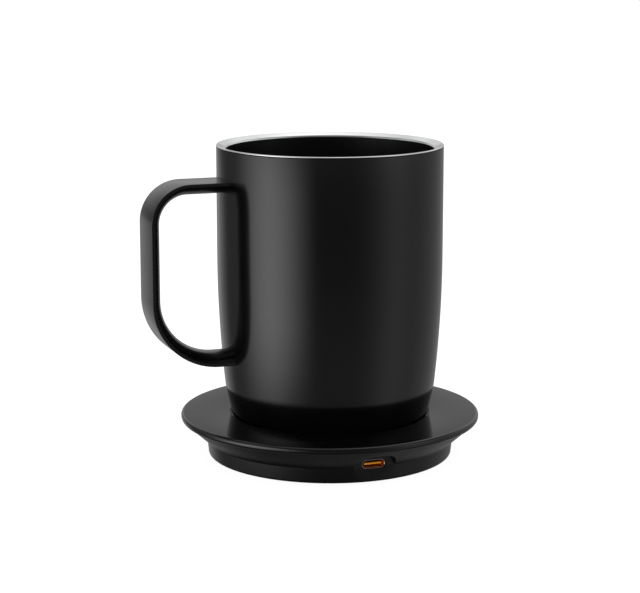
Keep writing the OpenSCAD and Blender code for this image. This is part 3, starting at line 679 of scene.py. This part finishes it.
def metal(name, tint, rough, strength, pitch=POLISH_PITCH):
    """A polished or plated metal: roughness range, strength and pitch of its polish lines."""
    if name in bpy.data.materials:
        return bpy.data.materials[name]
    material, tree, shader = new_finish(name)
    line = placed(tree, lathe_lines, Pitch=pitch)
    rub = placed(tree, handling_marks, Scale=METAL_RUB_SCALE)
    dark = [c * METAL_RUB_SHADE for c in tint]
    tree.links.new(two_tone(tree, rub["Rub"], dark, tint), shader.inputs["Base Color"])
    tree.links.new(ramp(tree, line["Line"], 0, 1, *rough), shader.inputs["Roughness"])
    tree.links.new(bump(tree, line["Line"], strength, POLISH_DEPTH), shader.inputs["Normal"])
    shader.inputs["Metallic"].default_value = 1.0
    return material


def colours():
    return bpy.context.scene.mug_colours


def powder_coat():
    return grained(
        "satin_powder_coat", colours().coat, rough=(0.15, 0.18), scale=2600.0, strength=0.012,
    )


def coaster_coat(name="satin_coaster", rough=(0.09, 0.12)):
    return grained(name, colours().coaster, rough, scale=2200.0, strength=0.01)


def painted_reflection_coat(name, rough, source, low_end, high_end, shine_low, shine_high):
    """The coaster's coat, with its shine graded along Z of a texture coordinate: painted reflection
    and shade, not a change in the coat.
    """
    if name in bpy.data.materials:
        return bpy.data.materials[name]
    material = coaster_coat(name, rough)
    tree = material.node_tree
    place = add(tree, "TexCoord").outputs[source]
    upward = add(tree, "SeparateXYZ", {"Vector": place}).outputs["Z"]
    # Painted reflection strength: the shine is graded by facing or by height, standing in for light
    # and shade
    shine = ramp(tree, upward, low_end, high_end, shine_low, shine_high)
    tree.links.new(shine, tree.nodes["Principled BSDF"].inputs["Specular IOR Level"])
    return material


def plate_coat():
    """The coaster plate's coat with painted reflection: its level top is made to reflect far less
    than its rounded edge, which keeps its highlight.
    """
    return painted_reflection_coat(
        "satin_coaster_top_painted_reflection", (0.09, 0.12), "Normal",
        low_end=0.97, high_end=0.998, shine_low=0.5, shine_high=0.08,
    )


def skirt_coat():
    """The coaster housing's coat with painted shade: its foot ring reflects less than its sloped
    side, standing in for the floor's shadow that the ring mirrors.
    """
    crease_z = bpy.context.scene.mug_coaster.crease_z
    # Painted shade: lower shine below the crease stands in for the shadowed floor near the foot
    return painted_reflection_coat(
        "satin_coaster_side_painted_shade", (0.26, 0.31), "Object",
        low_end=crease_z - CREASE_R, high_end=crease_z, shine_low=0.36, shine_high=0.5,
    )


def ceramic():
    return grained(
        "satin_ceramic", colours().lining, rough=(0.26, 0.32), scale=1600.0, strength=0.015,
    )


def base_plastic():
    return grained(
        "moulded_base_plastic", colours().plastic, rough=(0.5, 0.62), scale=1500.0, strength=0.35,
    )


def silicone():
    return grained(
        "soft_silicone", colours().silicone, rough=(0.7, 0.82), scale=1800.0, strength=0.25,
        specular=0.3,
    )


def shaded_insulator():
    """Orange insulator: slightly cloudy moulding, its orange darkened as painted shade for the
    inside of the socket.
    """
    return grained(
        "orange_insulator_painted_shade", colours().orange, rough=(0.34, 0.42), scale=3000.0, strength=0.05,
        tone=0.12,
    )


def tongue_painted_highlight():
    """Brighter orange on the tongue's nose: painted light, a lit copy of the insulator's orange."""
    return grained(
        "orange_tongue_painted_highlight", colours().tongue, rough=(0.22, 0.3), scale=3000.0, strength=0.04,
        specular=0.2, tone=0.06,
    )


def lip_steel():
    return metal("polished_lip_steel", colours().steel, rough=(0.07, 0.13), strength=0.02)


def sleeve_steel():
    """Duller plate of the socket's sleeve."""
    return metal("dull_sleeve_plate", colours().sleeve, rough=(0.2, 0.34), strength=0.08)


def plated_steel():
    return metal("nickel_plate", colours().nickel, rough=(0.2, 0.34), strength=0.08)


def gold_plate():
    return metal("gold_plate", colours().gold, rough=(0.18, 0.3), strength=0.06)


def shaded_socket_contact():
    """Gold plate of the contacts deep in the socket, darkened as painted shade."""
    return metal("shaded_socket_contact", colours().contact, rough=(0.3, 0.42), strength=0.06)


def solder_mask():
    return grained("solder_mask", colours().board, rough=(0.3, 0.42), scale=1200.0, strength=0.1)


def chip_package():
    return grained("chip_package", colours().chip, rough=(0.42, 0.55), scale=2400.0, strength=0.2)


def amber_film():
    return grained("amber_film", colours().film, rough=(0.25, 0.4), scale=700.0, strength=0.08)


def pressed_fibre():
    return grained("pressed_fibre", colours().fibre, rough=(0.85, 0.95), scale=900.0, strength=0.9)


def foil_pouch():
    return metal("foil_pouch", colours().foil, rough=(0.3, 0.45), strength=0.2, pitch=3000.0)


def kept_finishes():
    """Materials for the CAD pieces, by the record's slots."""
    return {
        "powder_coat": powder_coat(),
        "polished_steel": lip_steel(),
        "ceramic": ceramic(),
        "coaster_coat": coaster_coat(),
        "base_plastic": base_plastic(),
        "silicone": silicone(),
        "gold_contact": gold_plate(),
        "screw_steel": plated_steel(),
        "socket_orange": shaded_insulator(),
        "circuit_board": solder_mask(),
        "electronics": chip_package(),
        "heater_film": amber_film(),
        "insulation": pressed_fibre(),
        "cell_foil": foil_pouch(),
    }


# Operators, one for each piece or group of pieces

class MUG_OT_shell(bpy.types.Operator):
    """Builds the painted shell of the mug"""
    bl_idname = "mug.shell"
    bl_label = "Painted shell"

    def execute(self, context):
        m = context.scene.mug_sizes
        top_z = m.seam_z + m.seam_rise - m.seam_gap
        outside = body_line(m, 0, top_z)
        inside = body_line(m, m.shell_t, top_z)
        top = arc(m.rim_r - SEAM_R, top_z - SEAM_R, SEAM_R, 0, math.pi / 2, SEAM_STEPS)
        outline = outside[:-1] + top + inside[::-1]
        piece = turned("mug_shell", looped(outline))
        dress(piece, powder_coat(), "powder_coat", "mug", "outer_shell")
        return {"FINISHED"}


class MUG_OT_vessel(bpy.types.Operator):
    """Builds the steel vessel with its folded lip, and its black lining"""
    bl_idname = "mug.vessel"
    bl_label = "Vessel, lip and lining"

    def execute(self, context):
        m = context.scene.mug_sizes
        lining_in = m.wall_t
        vessel_in = m.wall_t - m.lining_t
        vessel_out = vessel_in - m.vessel_t
        bevel_z = m.lip_z - m.lip_bevel_h
        turn_z = bevel_z + m.lip_step_h
        join_z = bevel_z - CUP_JOIN_DEPTH
        turn_in = lining_in - STEP_LEAN * m.lip_step_h
        slope = (m.lip_bevel_h - m.lip_step_h) / (turn_in - m.lip_flat)
        under_z = turn_z + (turn_in - vessel_out) * slope - m.vessel_t * math.sqrt(1 + slope ** 2)
        edge_z = m.seam_z + m.seam_rise
        flat_r = m.rim_r - m.lip_flat
        in_floor = m.floor_z - m.lining_t
        in_corner = m.floor_corner_r + m.lining_t
        outside = cup_line(m, vessel_out, in_floor - m.vessel_t, in_corner + m.vessel_t, join_z)
        lip = eased([
            (m.rim_r - vessel_out, under_z, 0),
            (flat_r, edge_z, 0),
            (m.rim_r, edge_z, LIP_FOLD_R),
            (m.rim_r, m.lip_z, m.lip_round),
            (flat_r, m.lip_z, LIP_FLAT_R),
            (m.rim_r - turn_in, turn_z, LIP_TURN_R),
            (m.rim_r - lining_in, bevel_z, LIP_FOOT_R),
            (m.rim_r - vessel_in, bevel_z, 0),
        ], closed=False, steps=LIP_STEPS)
        inside = cup_line(m, vessel_in, in_floor, in_corner, join_z)
        vessel = turned("steel_vessel", outside + lip + inside[::-1])
        dress(vessel, lip_steel(), "polished_steel", "mug", "inner_vessel")
        lining_out = cup_line(m, vessel_in, in_floor, in_corner, bevel_z)
        lining_face = cup_line(m, lining_in, m.floor_z, m.floor_corner_r, bevel_z)
        lining = turned("ceramic_cup", lining_out + lining_face[::-1])
        dress(lining, ceramic(), "ceramic", "mug", "ceramic_lining")
        return {"FINISHED"}


class MUG_OT_handle(bpy.types.Operator):
    """Builds the bent strap handle by sweeping its section"""
    bl_idname = "mug.handle"
    bl_label = "Strap handle"

    def execute(self, context):
        h = context.scene.mug_handle
        m = context.scene.mug_sizes
        half = h.width / 2
        crown_r = (half ** 2 + h.crown ** 2) / (2 * h.crown)
        sweep = math.asin(half / crown_r)
        depth = h.side + h.crown
        section = eased([
            (half, h.side, 0),
            (half, 0, h.edge_r),
            (-half, 0, h.edge_r),
            (-half, h.side, 0),
        ], closed=False)
        crown_a = [-sweep + 2 * sweep * i / CROWN_STEPS for i in range(1, CROWN_STEPS)]
        crown = [(crown_r * math.sin(a), depth - crown_r + crown_r * math.cos(a)) for a in crown_a]
        root_x = m.rim_r - h.root
        top_x, low_x = h.grip_x - h.top_r, h.grip_x - h.low_r
        top_bend_z, low_bend_z = h.top_z - h.top_r, h.low_z + h.low_r
        low_root = belly_radius(m, h.low_z + depth) - h.root
        face([(-root_x, y, h.top_z - d) for y, d in section + crown])
        pull(root_x - top_x, 0, 0)
        self.bend(-top_x, top_bend_z)
        pull(0, 0, low_bend_z - top_bend_z)
        self.bend(-low_x, low_bend_z)
        pull(low_x - low_root, 0, 0)
        piece = close("strap_handle")
        dress(piece, powder_coat(), "powder_coat", "mug", "handle")
        return {"FINISHED"}

    def bend(self, x, z):
        """Sweeps the strap's end through a quarter turn about a centre."""
        bpy.ops.mesh.spin(steps=BEND_STEPS, angle=math.pi / 2, center=(x, 0, z), axis=(0, 1, 0))


class MUG_OT_coaster_top(bpy.types.Operator):
    """Builds the coaster's top plate with its well and rounded edge"""
    bl_idname = "mug.coaster_top"
    bl_label = "Coaster top"

    def execute(self, context):
        c = context.scene.mug_coaster
        under_z = c.top_z - c.flange_t
        pan_r, pan_z = c.well_r + c.pan_t, c.well_z - c.pan_t
        top_r, low_r = c.flange_top_r, c.flange_low_r
        outline = (
            [(0, pan_z), (pan_r, pan_z), (pan_r, under_z)]
            + arc(c.flange_r - low_r, under_z + low_r, low_r, -math.pi / 2, 0, FLANGE_STEPS)
            + arc(c.flange_r - top_r, c.top_z - top_r, top_r, 0, math.pi / 2, FLANGE_STEPS)
            + eased([
                (c.flange_r - top_r, c.top_z, 0),
                (c.well_r, c.top_z, c.well_edge_r),
                (c.well_r, c.well_z, c.well_edge_r),
                (0, c.well_z, 0),
            ], closed=False)[1:]
        )
        piece = turned("coaster_plate", outline)
        for x in (c.pin_in_x, c.pin_out_x):
            cut(piece, rod("pin_hole", x, 0, c.pin_hole_r, pan_z - c.pan_t, c.top_z))
        dress(piece, plate_coat(), "coaster_coat", "coaster", "coaster_top")
        return {"FINISHED"}


class MUG_OT_coaster_housing(bpy.types.Operator):
    """Builds the coaster's housing with the flat pocket round its socket"""
    bl_idname = "mug.coaster_housing"
    bl_label = "Coaster housing"

    def execute(self, context):
        c = context.scene.mug_coaster
        s = context.scene.mug_socket
        cone_top_r = c.flange_r - c.flange_t / 2
        cone_top_z = c.top_z - c.flange_t
        rise = (cone_top_r - c.crease_r) / (cone_top_z - c.crease_z)
        wall = c.wall_t * math.sqrt(1 + rise ** 2)
        seat_r = c.ring_r - c.wall_t
        ledge_r = min(seat_r, c.crease_r - wall) - LEDGE_W
        outline = eased([
            (c.ring_r, c.ring_z, RING_FOOT_R),
            (c.crease_r, c.crease_z, CREASE_R),
            (cone_top_r, cone_top_z, CONE_TOP_R),
            (cone_top_r - wall, cone_top_z, 0),
            (c.crease_r - wall, c.crease_z, 0),
            (ledge_r, (c.plate_z + c.crease_z) / 2, 0),
            (ledge_r, c.plate_z, 0),
            (seat_r, c.plate_z, 0),
            (seat_r, c.ring_z, RING_SEAT_R),
        ])
        piece = turned("coaster_skirt", looped(outline))
        port_wall = turned("port_wall", [
            (0, c.ring_z),
            (c.ring_r - PORT_WALL_SKIN, c.ring_z),
            (c.crease_r - PORT_WALL_SKIN, c.crease_z),
            (cone_top_r - PORT_WALL_SKIN, cone_top_z),
            (0, cone_top_z),
        ])
        half_w = s.pocket_w / 2
        far_y = 2 * c.crease_r
        room_x, room_z = half_w + PORT_WALL_RIM, c.plate_z + PORT_WALL_LIFT
        room_top_z = s.pocket_top_z + PORT_WALL_RIM
        room = [(-room_x, room_z), (room_x, room_z), (room_x, room_top_z), (-room_x, room_top_z)]
        wall_room = upright_prism("port_wall_room", room, -far_y, far_y - ledge_r)
        combine(port_wall, wall_room, "INTERSECT")
        combine(piece, port_wall, "UNION")
        pocket = eased([
            (-half_w, -CUTTER_SPARE, 0),
            (half_w, -CUTTER_SPARE, 0),
            (half_w, s.pocket_top_z, s.pocket_corner_r),
            (-half_w, s.pocket_top_z, s.pocket_corner_r),
        ], steps=POCKET_STEPS)
        cut(piece, upright_prism("pocket_room", pocket, -far_y, far_y + s.pocket_y))
        mouth = stadium(s.width + 2 * s.gap, s.height + 2 * s.gap, port_height())
        cut(piece, upright_prism("mouth_room", mouth, -c.crease_r - CUTTER_SPARE, MOUTH_DEPTH))
        dress(piece, skirt_coat(), "coaster_coat", "coaster", "coaster_housing")
        return {"FINISHED"}


class MUG_OT_socket(bpy.types.Operator):
    """Builds the charging socket: steel sleeve and orange insulator"""
    bl_idname = "mug.socket"
    bl_label = "Charging socket"

    def execute(self, context):
        s = context.scene.mug_socket
        port_z = port_height()
        sleeve_l = s.back_y - s.front_y
        face([(x, s.front_y, z) for x, z in stadium(s.width, s.height, port_z)])
        pull(0, sleeve_l, 0)
        sleeve = self.hollow("socket_sleeve", s.front_y, s.wall, sleeve_l - s.wall, s.lead_in)
        dress(sleeve, sleeve_steel(), "screw_steel", "coaster", "usb_c_shell")
        inner_w, inner_h = s.width - 2 * s.wall, s.height - 2 * s.wall
        liner_y = s.front_y + LINER_SETBACK
        face([(x, liner_y, z) for x, z in stadium(inner_w, inner_h, port_z)])
        pull(0, s.back_y - s.wall - liner_y, 0)
        # The liner takes the darker orange as painted shade inside the sleeve
        liner = self.hollow("socket_insulator", liner_y, s.liner, s.block_y - liner_y, 0)
        dress(liner, shaded_insulator(), "socket_orange", "coaster", "usb_c_tongue")
        # The tongue's front gets the bright orange as painted light, its root the darker orange as
        # painted shade
        root_y = s.tongue_y + s.nose_l
        root = self.tongue_part("tongue_root_painted_shade", s, root_y, s.block_y + TONGUE_SINK, TONGUE_ROOT_R)
        dress(root, shaded_insulator(), "socket_orange", "coaster")
        nose = self.tongue_part("tongue_nose_painted_highlight", s, s.tongue_y, root_y, TONGUE_NOSE_R)
        dress(nose, tongue_painted_highlight(), "socket_orange", "coaster")
        return {"FINISHED"}

    def tongue_part(self, name, s, front_y, back_y, soft):
        """One length of the tongue, with softened edges."""
        start(
            bpy.ops.mesh.primitive_cube_add, size=1,
            location=(0, (front_y + back_y) / 2, port_height()),
            scale=(s.tongue_w, back_y - front_y, s.tongue_t),
        )
        bpy.ops.mesh.bevel(offset=soft, segments=3, affect="EDGES")
        return close(name)

    def hollow(self, name, front_y, wall, depth, lead_in):
        """Hollows a prism from its front face, with or without a sloped lead-in."""
        prism = bpy.context.object
        bpy.ops.mesh.select_all(action="SELECT")
        bpy.ops.mesh.normals_make_consistent(inside=False)
        bpy.ops.mesh.select_all(action="DESELECT")
        bpy.ops.mesh.select_mode(type="FACE")
        bpy.ops.object.mode_set(mode="OBJECT")
        for polygon in prism.data.polygons:
            polygon.select = abs((prism.matrix_world @ polygon.center).y - front_y) < MERGE_GAP
        bpy.ops.object.mode_set(mode="EDIT")
        bpy.ops.mesh.inset(thickness=wall - lead_in, depth=0)
        if lead_in:
            bpy.ops.mesh.inset(thickness=lead_in, depth=-lead_in)
        pull(0, depth - lead_in, 0)
        bpy.ops.mesh.select_mode(type="VERT")
        return close(name)


class MUG_OT_coaster_foot(bpy.types.Operator):
    """Builds the coaster's soft foot disc"""
    bl_idname = "mug.coaster_foot"
    bl_label = "Coaster foot"

    def execute(self, context):
        pad_r, pad_t = high("coaster_foot").x, high("coaster_foot").z
        outline = eased([
            (0, 0, 0),
            (pad_r, 0, PAD_FOOT_R),
            (pad_r, pad_t, PAD_TOP_R),
            (0, pad_t, 0),
        ], closed=False)
        piece = turned("coaster_pad", outline)
        dress(piece, silicone(), "silicone", "coaster", "coaster_foot")
        return {"FINISHED"}


class MUG_OT_kept_pieces(bpy.types.Operator):
    """Gives every CAD piece a finish by its slot"""
    bl_idname = "mug.kept_pieces"
    bl_label = "Inner and under parts"

    def execute(self, context):
        finishes = kept_finishes()
        slots = {part["node"]: part["material_slot"] for part in frame["record"]["subparts"]}
        # The socket's contacts take the darkened gold, painted shade
        own = {"usb_c_contacts": shaded_socket_contact()}
        for name, node in frame["nodes"].items():
            node.data.materials.clear()
            node.data.materials.append(own.get(name) or finishes[slots[name]])
        return {"FINISHED"}


class MUG_OT_pin_springs(bpy.types.Operator):
    """Makes the coil springs under the contact pins from copies of the CAD coils"""
    bl_idname = "mug.pin_springs"
    bl_label = "Pin springs"

    def execute(self, context):
        for side in ("inner", "outer"):
            node = "pin_spring_" + side
            source = frame["nodes"][node]
            coil = bpy.data.objects.new(node, source.data.copy())
            context.scene.collection.objects.link(coil)
            coil.matrix_world = source.matrix_world
            bpy.ops.object.select_all(action="DESELECT")
            context.view_layer.objects.active = coil
            coil.select_set(True)
            bpy.ops.object.mode_set(mode="EDIT")
            piece = close(side + "_pin_spring")
            dress(piece, plated_steel(), "screw_steel", "coaster", node)
            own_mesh(piece)
        return {"FINISHED"}


class MUG_OT_stage(bpy.types.Operator):
    """Sets the pale floor, the soft studio light and the camera"""
    bl_idname = "mug.stage"
    bl_label = "Stage"

    def execute(self, context):
        st = context.scene.mug_stage
        context.scene.view_settings.view_transform = "Standard"
        self.floor(st)
        self.surround(context.scene, st)
        self.softbox(
            "top_softbox", place=(0.1, 0.25, 1.6), target=(0, 0, 0),
            width=1.3, height=1.1, power=12,
        )
        self.camera(context.scene, st)
        return {"FINISHED"}

    def floor(self, st):
        """A pale floor, white to the camera, that keeps a soft shadow and is clear from below."""
        start(
            bpy.ops.mesh.primitive_circle_add,
            vertices=FLOOR_SIDES, radius=st.floor_r, fill_type="NGON",
        )
        bpy.ops.mesh.inset(thickness=st.floor_r * FLOOR_INSET)
        floor = close("floor")
        material = bpy.data.materials.new("pale_floor")
        material.use_nodes = True
        tree = material.node_tree
        tree.nodes.clear()
        out = add(tree, "OutputMaterial")
        tone = two_tone(tree, clouds(tree, Scale=FLOOR_CLOUDS), FLOOR_DARK, FLOOR_LIGHT)
        paper = add(tree, "BsdfDiffuse", {"Color": tone})
        white = add(tree, "Emission", {"Strength": FLOOR_GLOW})
        seen = add(tree, "LightPath").outputs["Is Camera Ray"]
        share = joined(tree, "MULTIPLY", seen, FLOOR_SHARE)
        lit = add(tree, "MixShader", {0: share, 1: paper.outputs[0], 2: white.outputs[0]})
        clear = add(tree, "BsdfTransparent")
        under = add(tree, "NewGeometry").outputs["Backfacing"]
        both = add(tree, "MixShader", {0: under, 1: lit.outputs[0], 2: clear.outputs[0]})
        tree.links.new(both.outputs[0], out.inputs["Surface"])
        floor.data.materials.append(material)
        floor.visible_glossy = False

    def surround(self, scene, st):
        """White to the camera, even to matt faces, and a shaped studio to all that mirrors."""
        world = bpy.data.worlds.new("soft_surround")
        scene.world = world
        world.use_nodes = True
        tree = world.node_tree
        tree.nodes.clear()
        out = add(tree, "OutputWorld")
        path = add(tree, "LightPath").outputs
        shaped = self.studio(tree, st.camera_turn)
        even = mixed(tree, path["Is Diffuse Ray"], shaped, EVEN_LEVEL)
        seen = mixed(tree, path["Is Camera Ray"], even, 1.0)
        back = add(tree, "Background", {"Color": (1, 1, 1, 1), "Strength": seen})
        tree.links.new(back.outputs[0], out.inputs["Surface"])
        world.cycles.sampling_method = "NONE"

    def studio(self, tree, turn):
        """A tall soft card on the left, pale walls with a dark front, and light above and below."""
        way = add(tree, "TexCoord").outputs["Generated"]
        level = add(tree, "VectorMath", {0: way, 1: (1, 1, 0)}, operation="MULTIPLY").outputs[0]
        level = add(tree, "VectorMath", {0: level}, operation="NORMALIZE").outputs[0]
        height = add(tree, "SeparateXYZ", {"Vector": way}).outputs["Z"]
        at = {name: ramp(tree, height, *step, SOFT) for name, step in HEIGHT_STEPS.items()}
        at |= {name: self.stripe(tree, level, turn, *step) for name, step in AZIMUTH_STEPS.items()}
        walls = self.stripe(tree, level, turn, *WALL_ENDS, at["front"], WALL_LEVEL)
        card = joined(tree, "POWER", at["card"], CARD_POWER)
        lifted = joined(tree, "ADD", height, at["behind"])
        zenith = ramp(tree, lifted, *ZENITH_STEP, SOFT)
        lights = (
            (walls, at["rear"], at["side"], at["sky"], at["upper"], at["ground"]),
            (card, at["card_foot"], at["card_head"]),
            (zenith, at["lean"]),
            (at["glow"], at["glow_top"], at["glow_foot"]),
            (at["fill"], at["fill_top"], at["fill_foot"]),
        )
        return joined(tree, "ADD", *(joined(tree, "MULTIPLY", *light) for light in lights))

    def stripe(self, tree, level, turn, azimuth, near, far, at_near, at_far, fall=SOFT):
        """An upright stripe of the studio: its level by a direction's turn from one azimuth."""
        toward = turn + math.radians(azimuth)
        aim = (-math.sin(toward), -math.cos(toward), 0)
        facing = add(tree, "VectorMath", {0: level, 1: aim}, operation="DOT_PRODUCT")
        return ramp(tree, facing.outputs["Value"], near, far, at_near, at_far, fall)

    def softbox(self, name, place, target, width, height, power):
        """A soft rectangular lamp that looks at a point."""
        lamp = bpy.data.lights.new(name, "AREA")
        lamp.shape = "RECTANGLE"
        lamp.size, lamp.size_y, lamp.energy = width, height, power
        box = bpy.data.objects.new(name, lamp)
        bpy.context.scene.collection.objects.link(box)
        box.location = place
        box.rotation_euler = (Vector(target) - Vector(place)).to_track_quat("-Z", "Y").to_euler()
        box.visible_glossy = False

    def camera(self, scene, st):
        """The photograph's viewpoint."""
        eye = bpy.data.cameras.new("camera")
        eye.lens, eye.sensor_width = st.lens, SENSOR_MM
        eye.clip_start, eye.clip_end = CLIP_ENDS
        holder = bpy.data.objects.new("camera", eye)
        scene.collection.objects.link(holder)
        holder.location = st.camera_at
        holder.rotation_euler = (math.pi / 2 - st.camera_tilt, 0, -st.camera_turn)
        scene.camera = holder


class MUG_PT_panel(bpy.types.Panel):
    """Lists the steps that build the mug"""
    bl_idname = "MUG_PT_panel"
    bl_label = "Self-heating mug"
    bl_space_type = "VIEW_3D"
    bl_region_type = "UI"
    bl_category = "Mug"

    def draw(self, context):
        for step in STEPS:
            self.layout.operator(step.bl_idname)
        for group in GROUPS:
            box = self.layout.box()
            values = getattr(context.scene, group)
            for key in values.__annotations__:
                box.prop(values, key)


GROUPS = {
    "mug_sizes": MugSizes,
    "mug_handle": HandleSizes,
    "mug_coaster": CoasterSizes,
    "mug_socket": SocketSizes,
    "mug_colours": FinishColours,
    "mug_stage": StageSizes,
}
STEPS = (
    MUG_OT_kept_pieces,
    MUG_OT_shell,
    MUG_OT_vessel,
    MUG_OT_handle,
    MUG_OT_coaster_top,
    MUG_OT_coaster_housing,
    MUG_OT_socket,
    MUG_OT_coaster_foot,
    MUG_OT_pin_springs,
    MUG_OT_stage,
)


def register():
    for item in (*GROUPS.values(), *STEPS, MUG_PT_panel):
        bpy.utils.register_class(item)
    for name, group in GROUPS.items():
        setattr(bpy.types.Scene, name, PointerProperty(type=group))


def unregister():
    for name in GROUPS:
        delattr(bpy.types.Scene, name)
    for item in (MUG_PT_panel, *reversed(STEPS), *reversed(GROUPS.values())):
        bpy.utils.unregister_class(item)


def main():
    register()
    for step in STEPS:
        group, name = step.bl_idname.split(".")
        getattr(getattr(bpy.ops, group), name)()


if __name__ == "__main__":
    main()
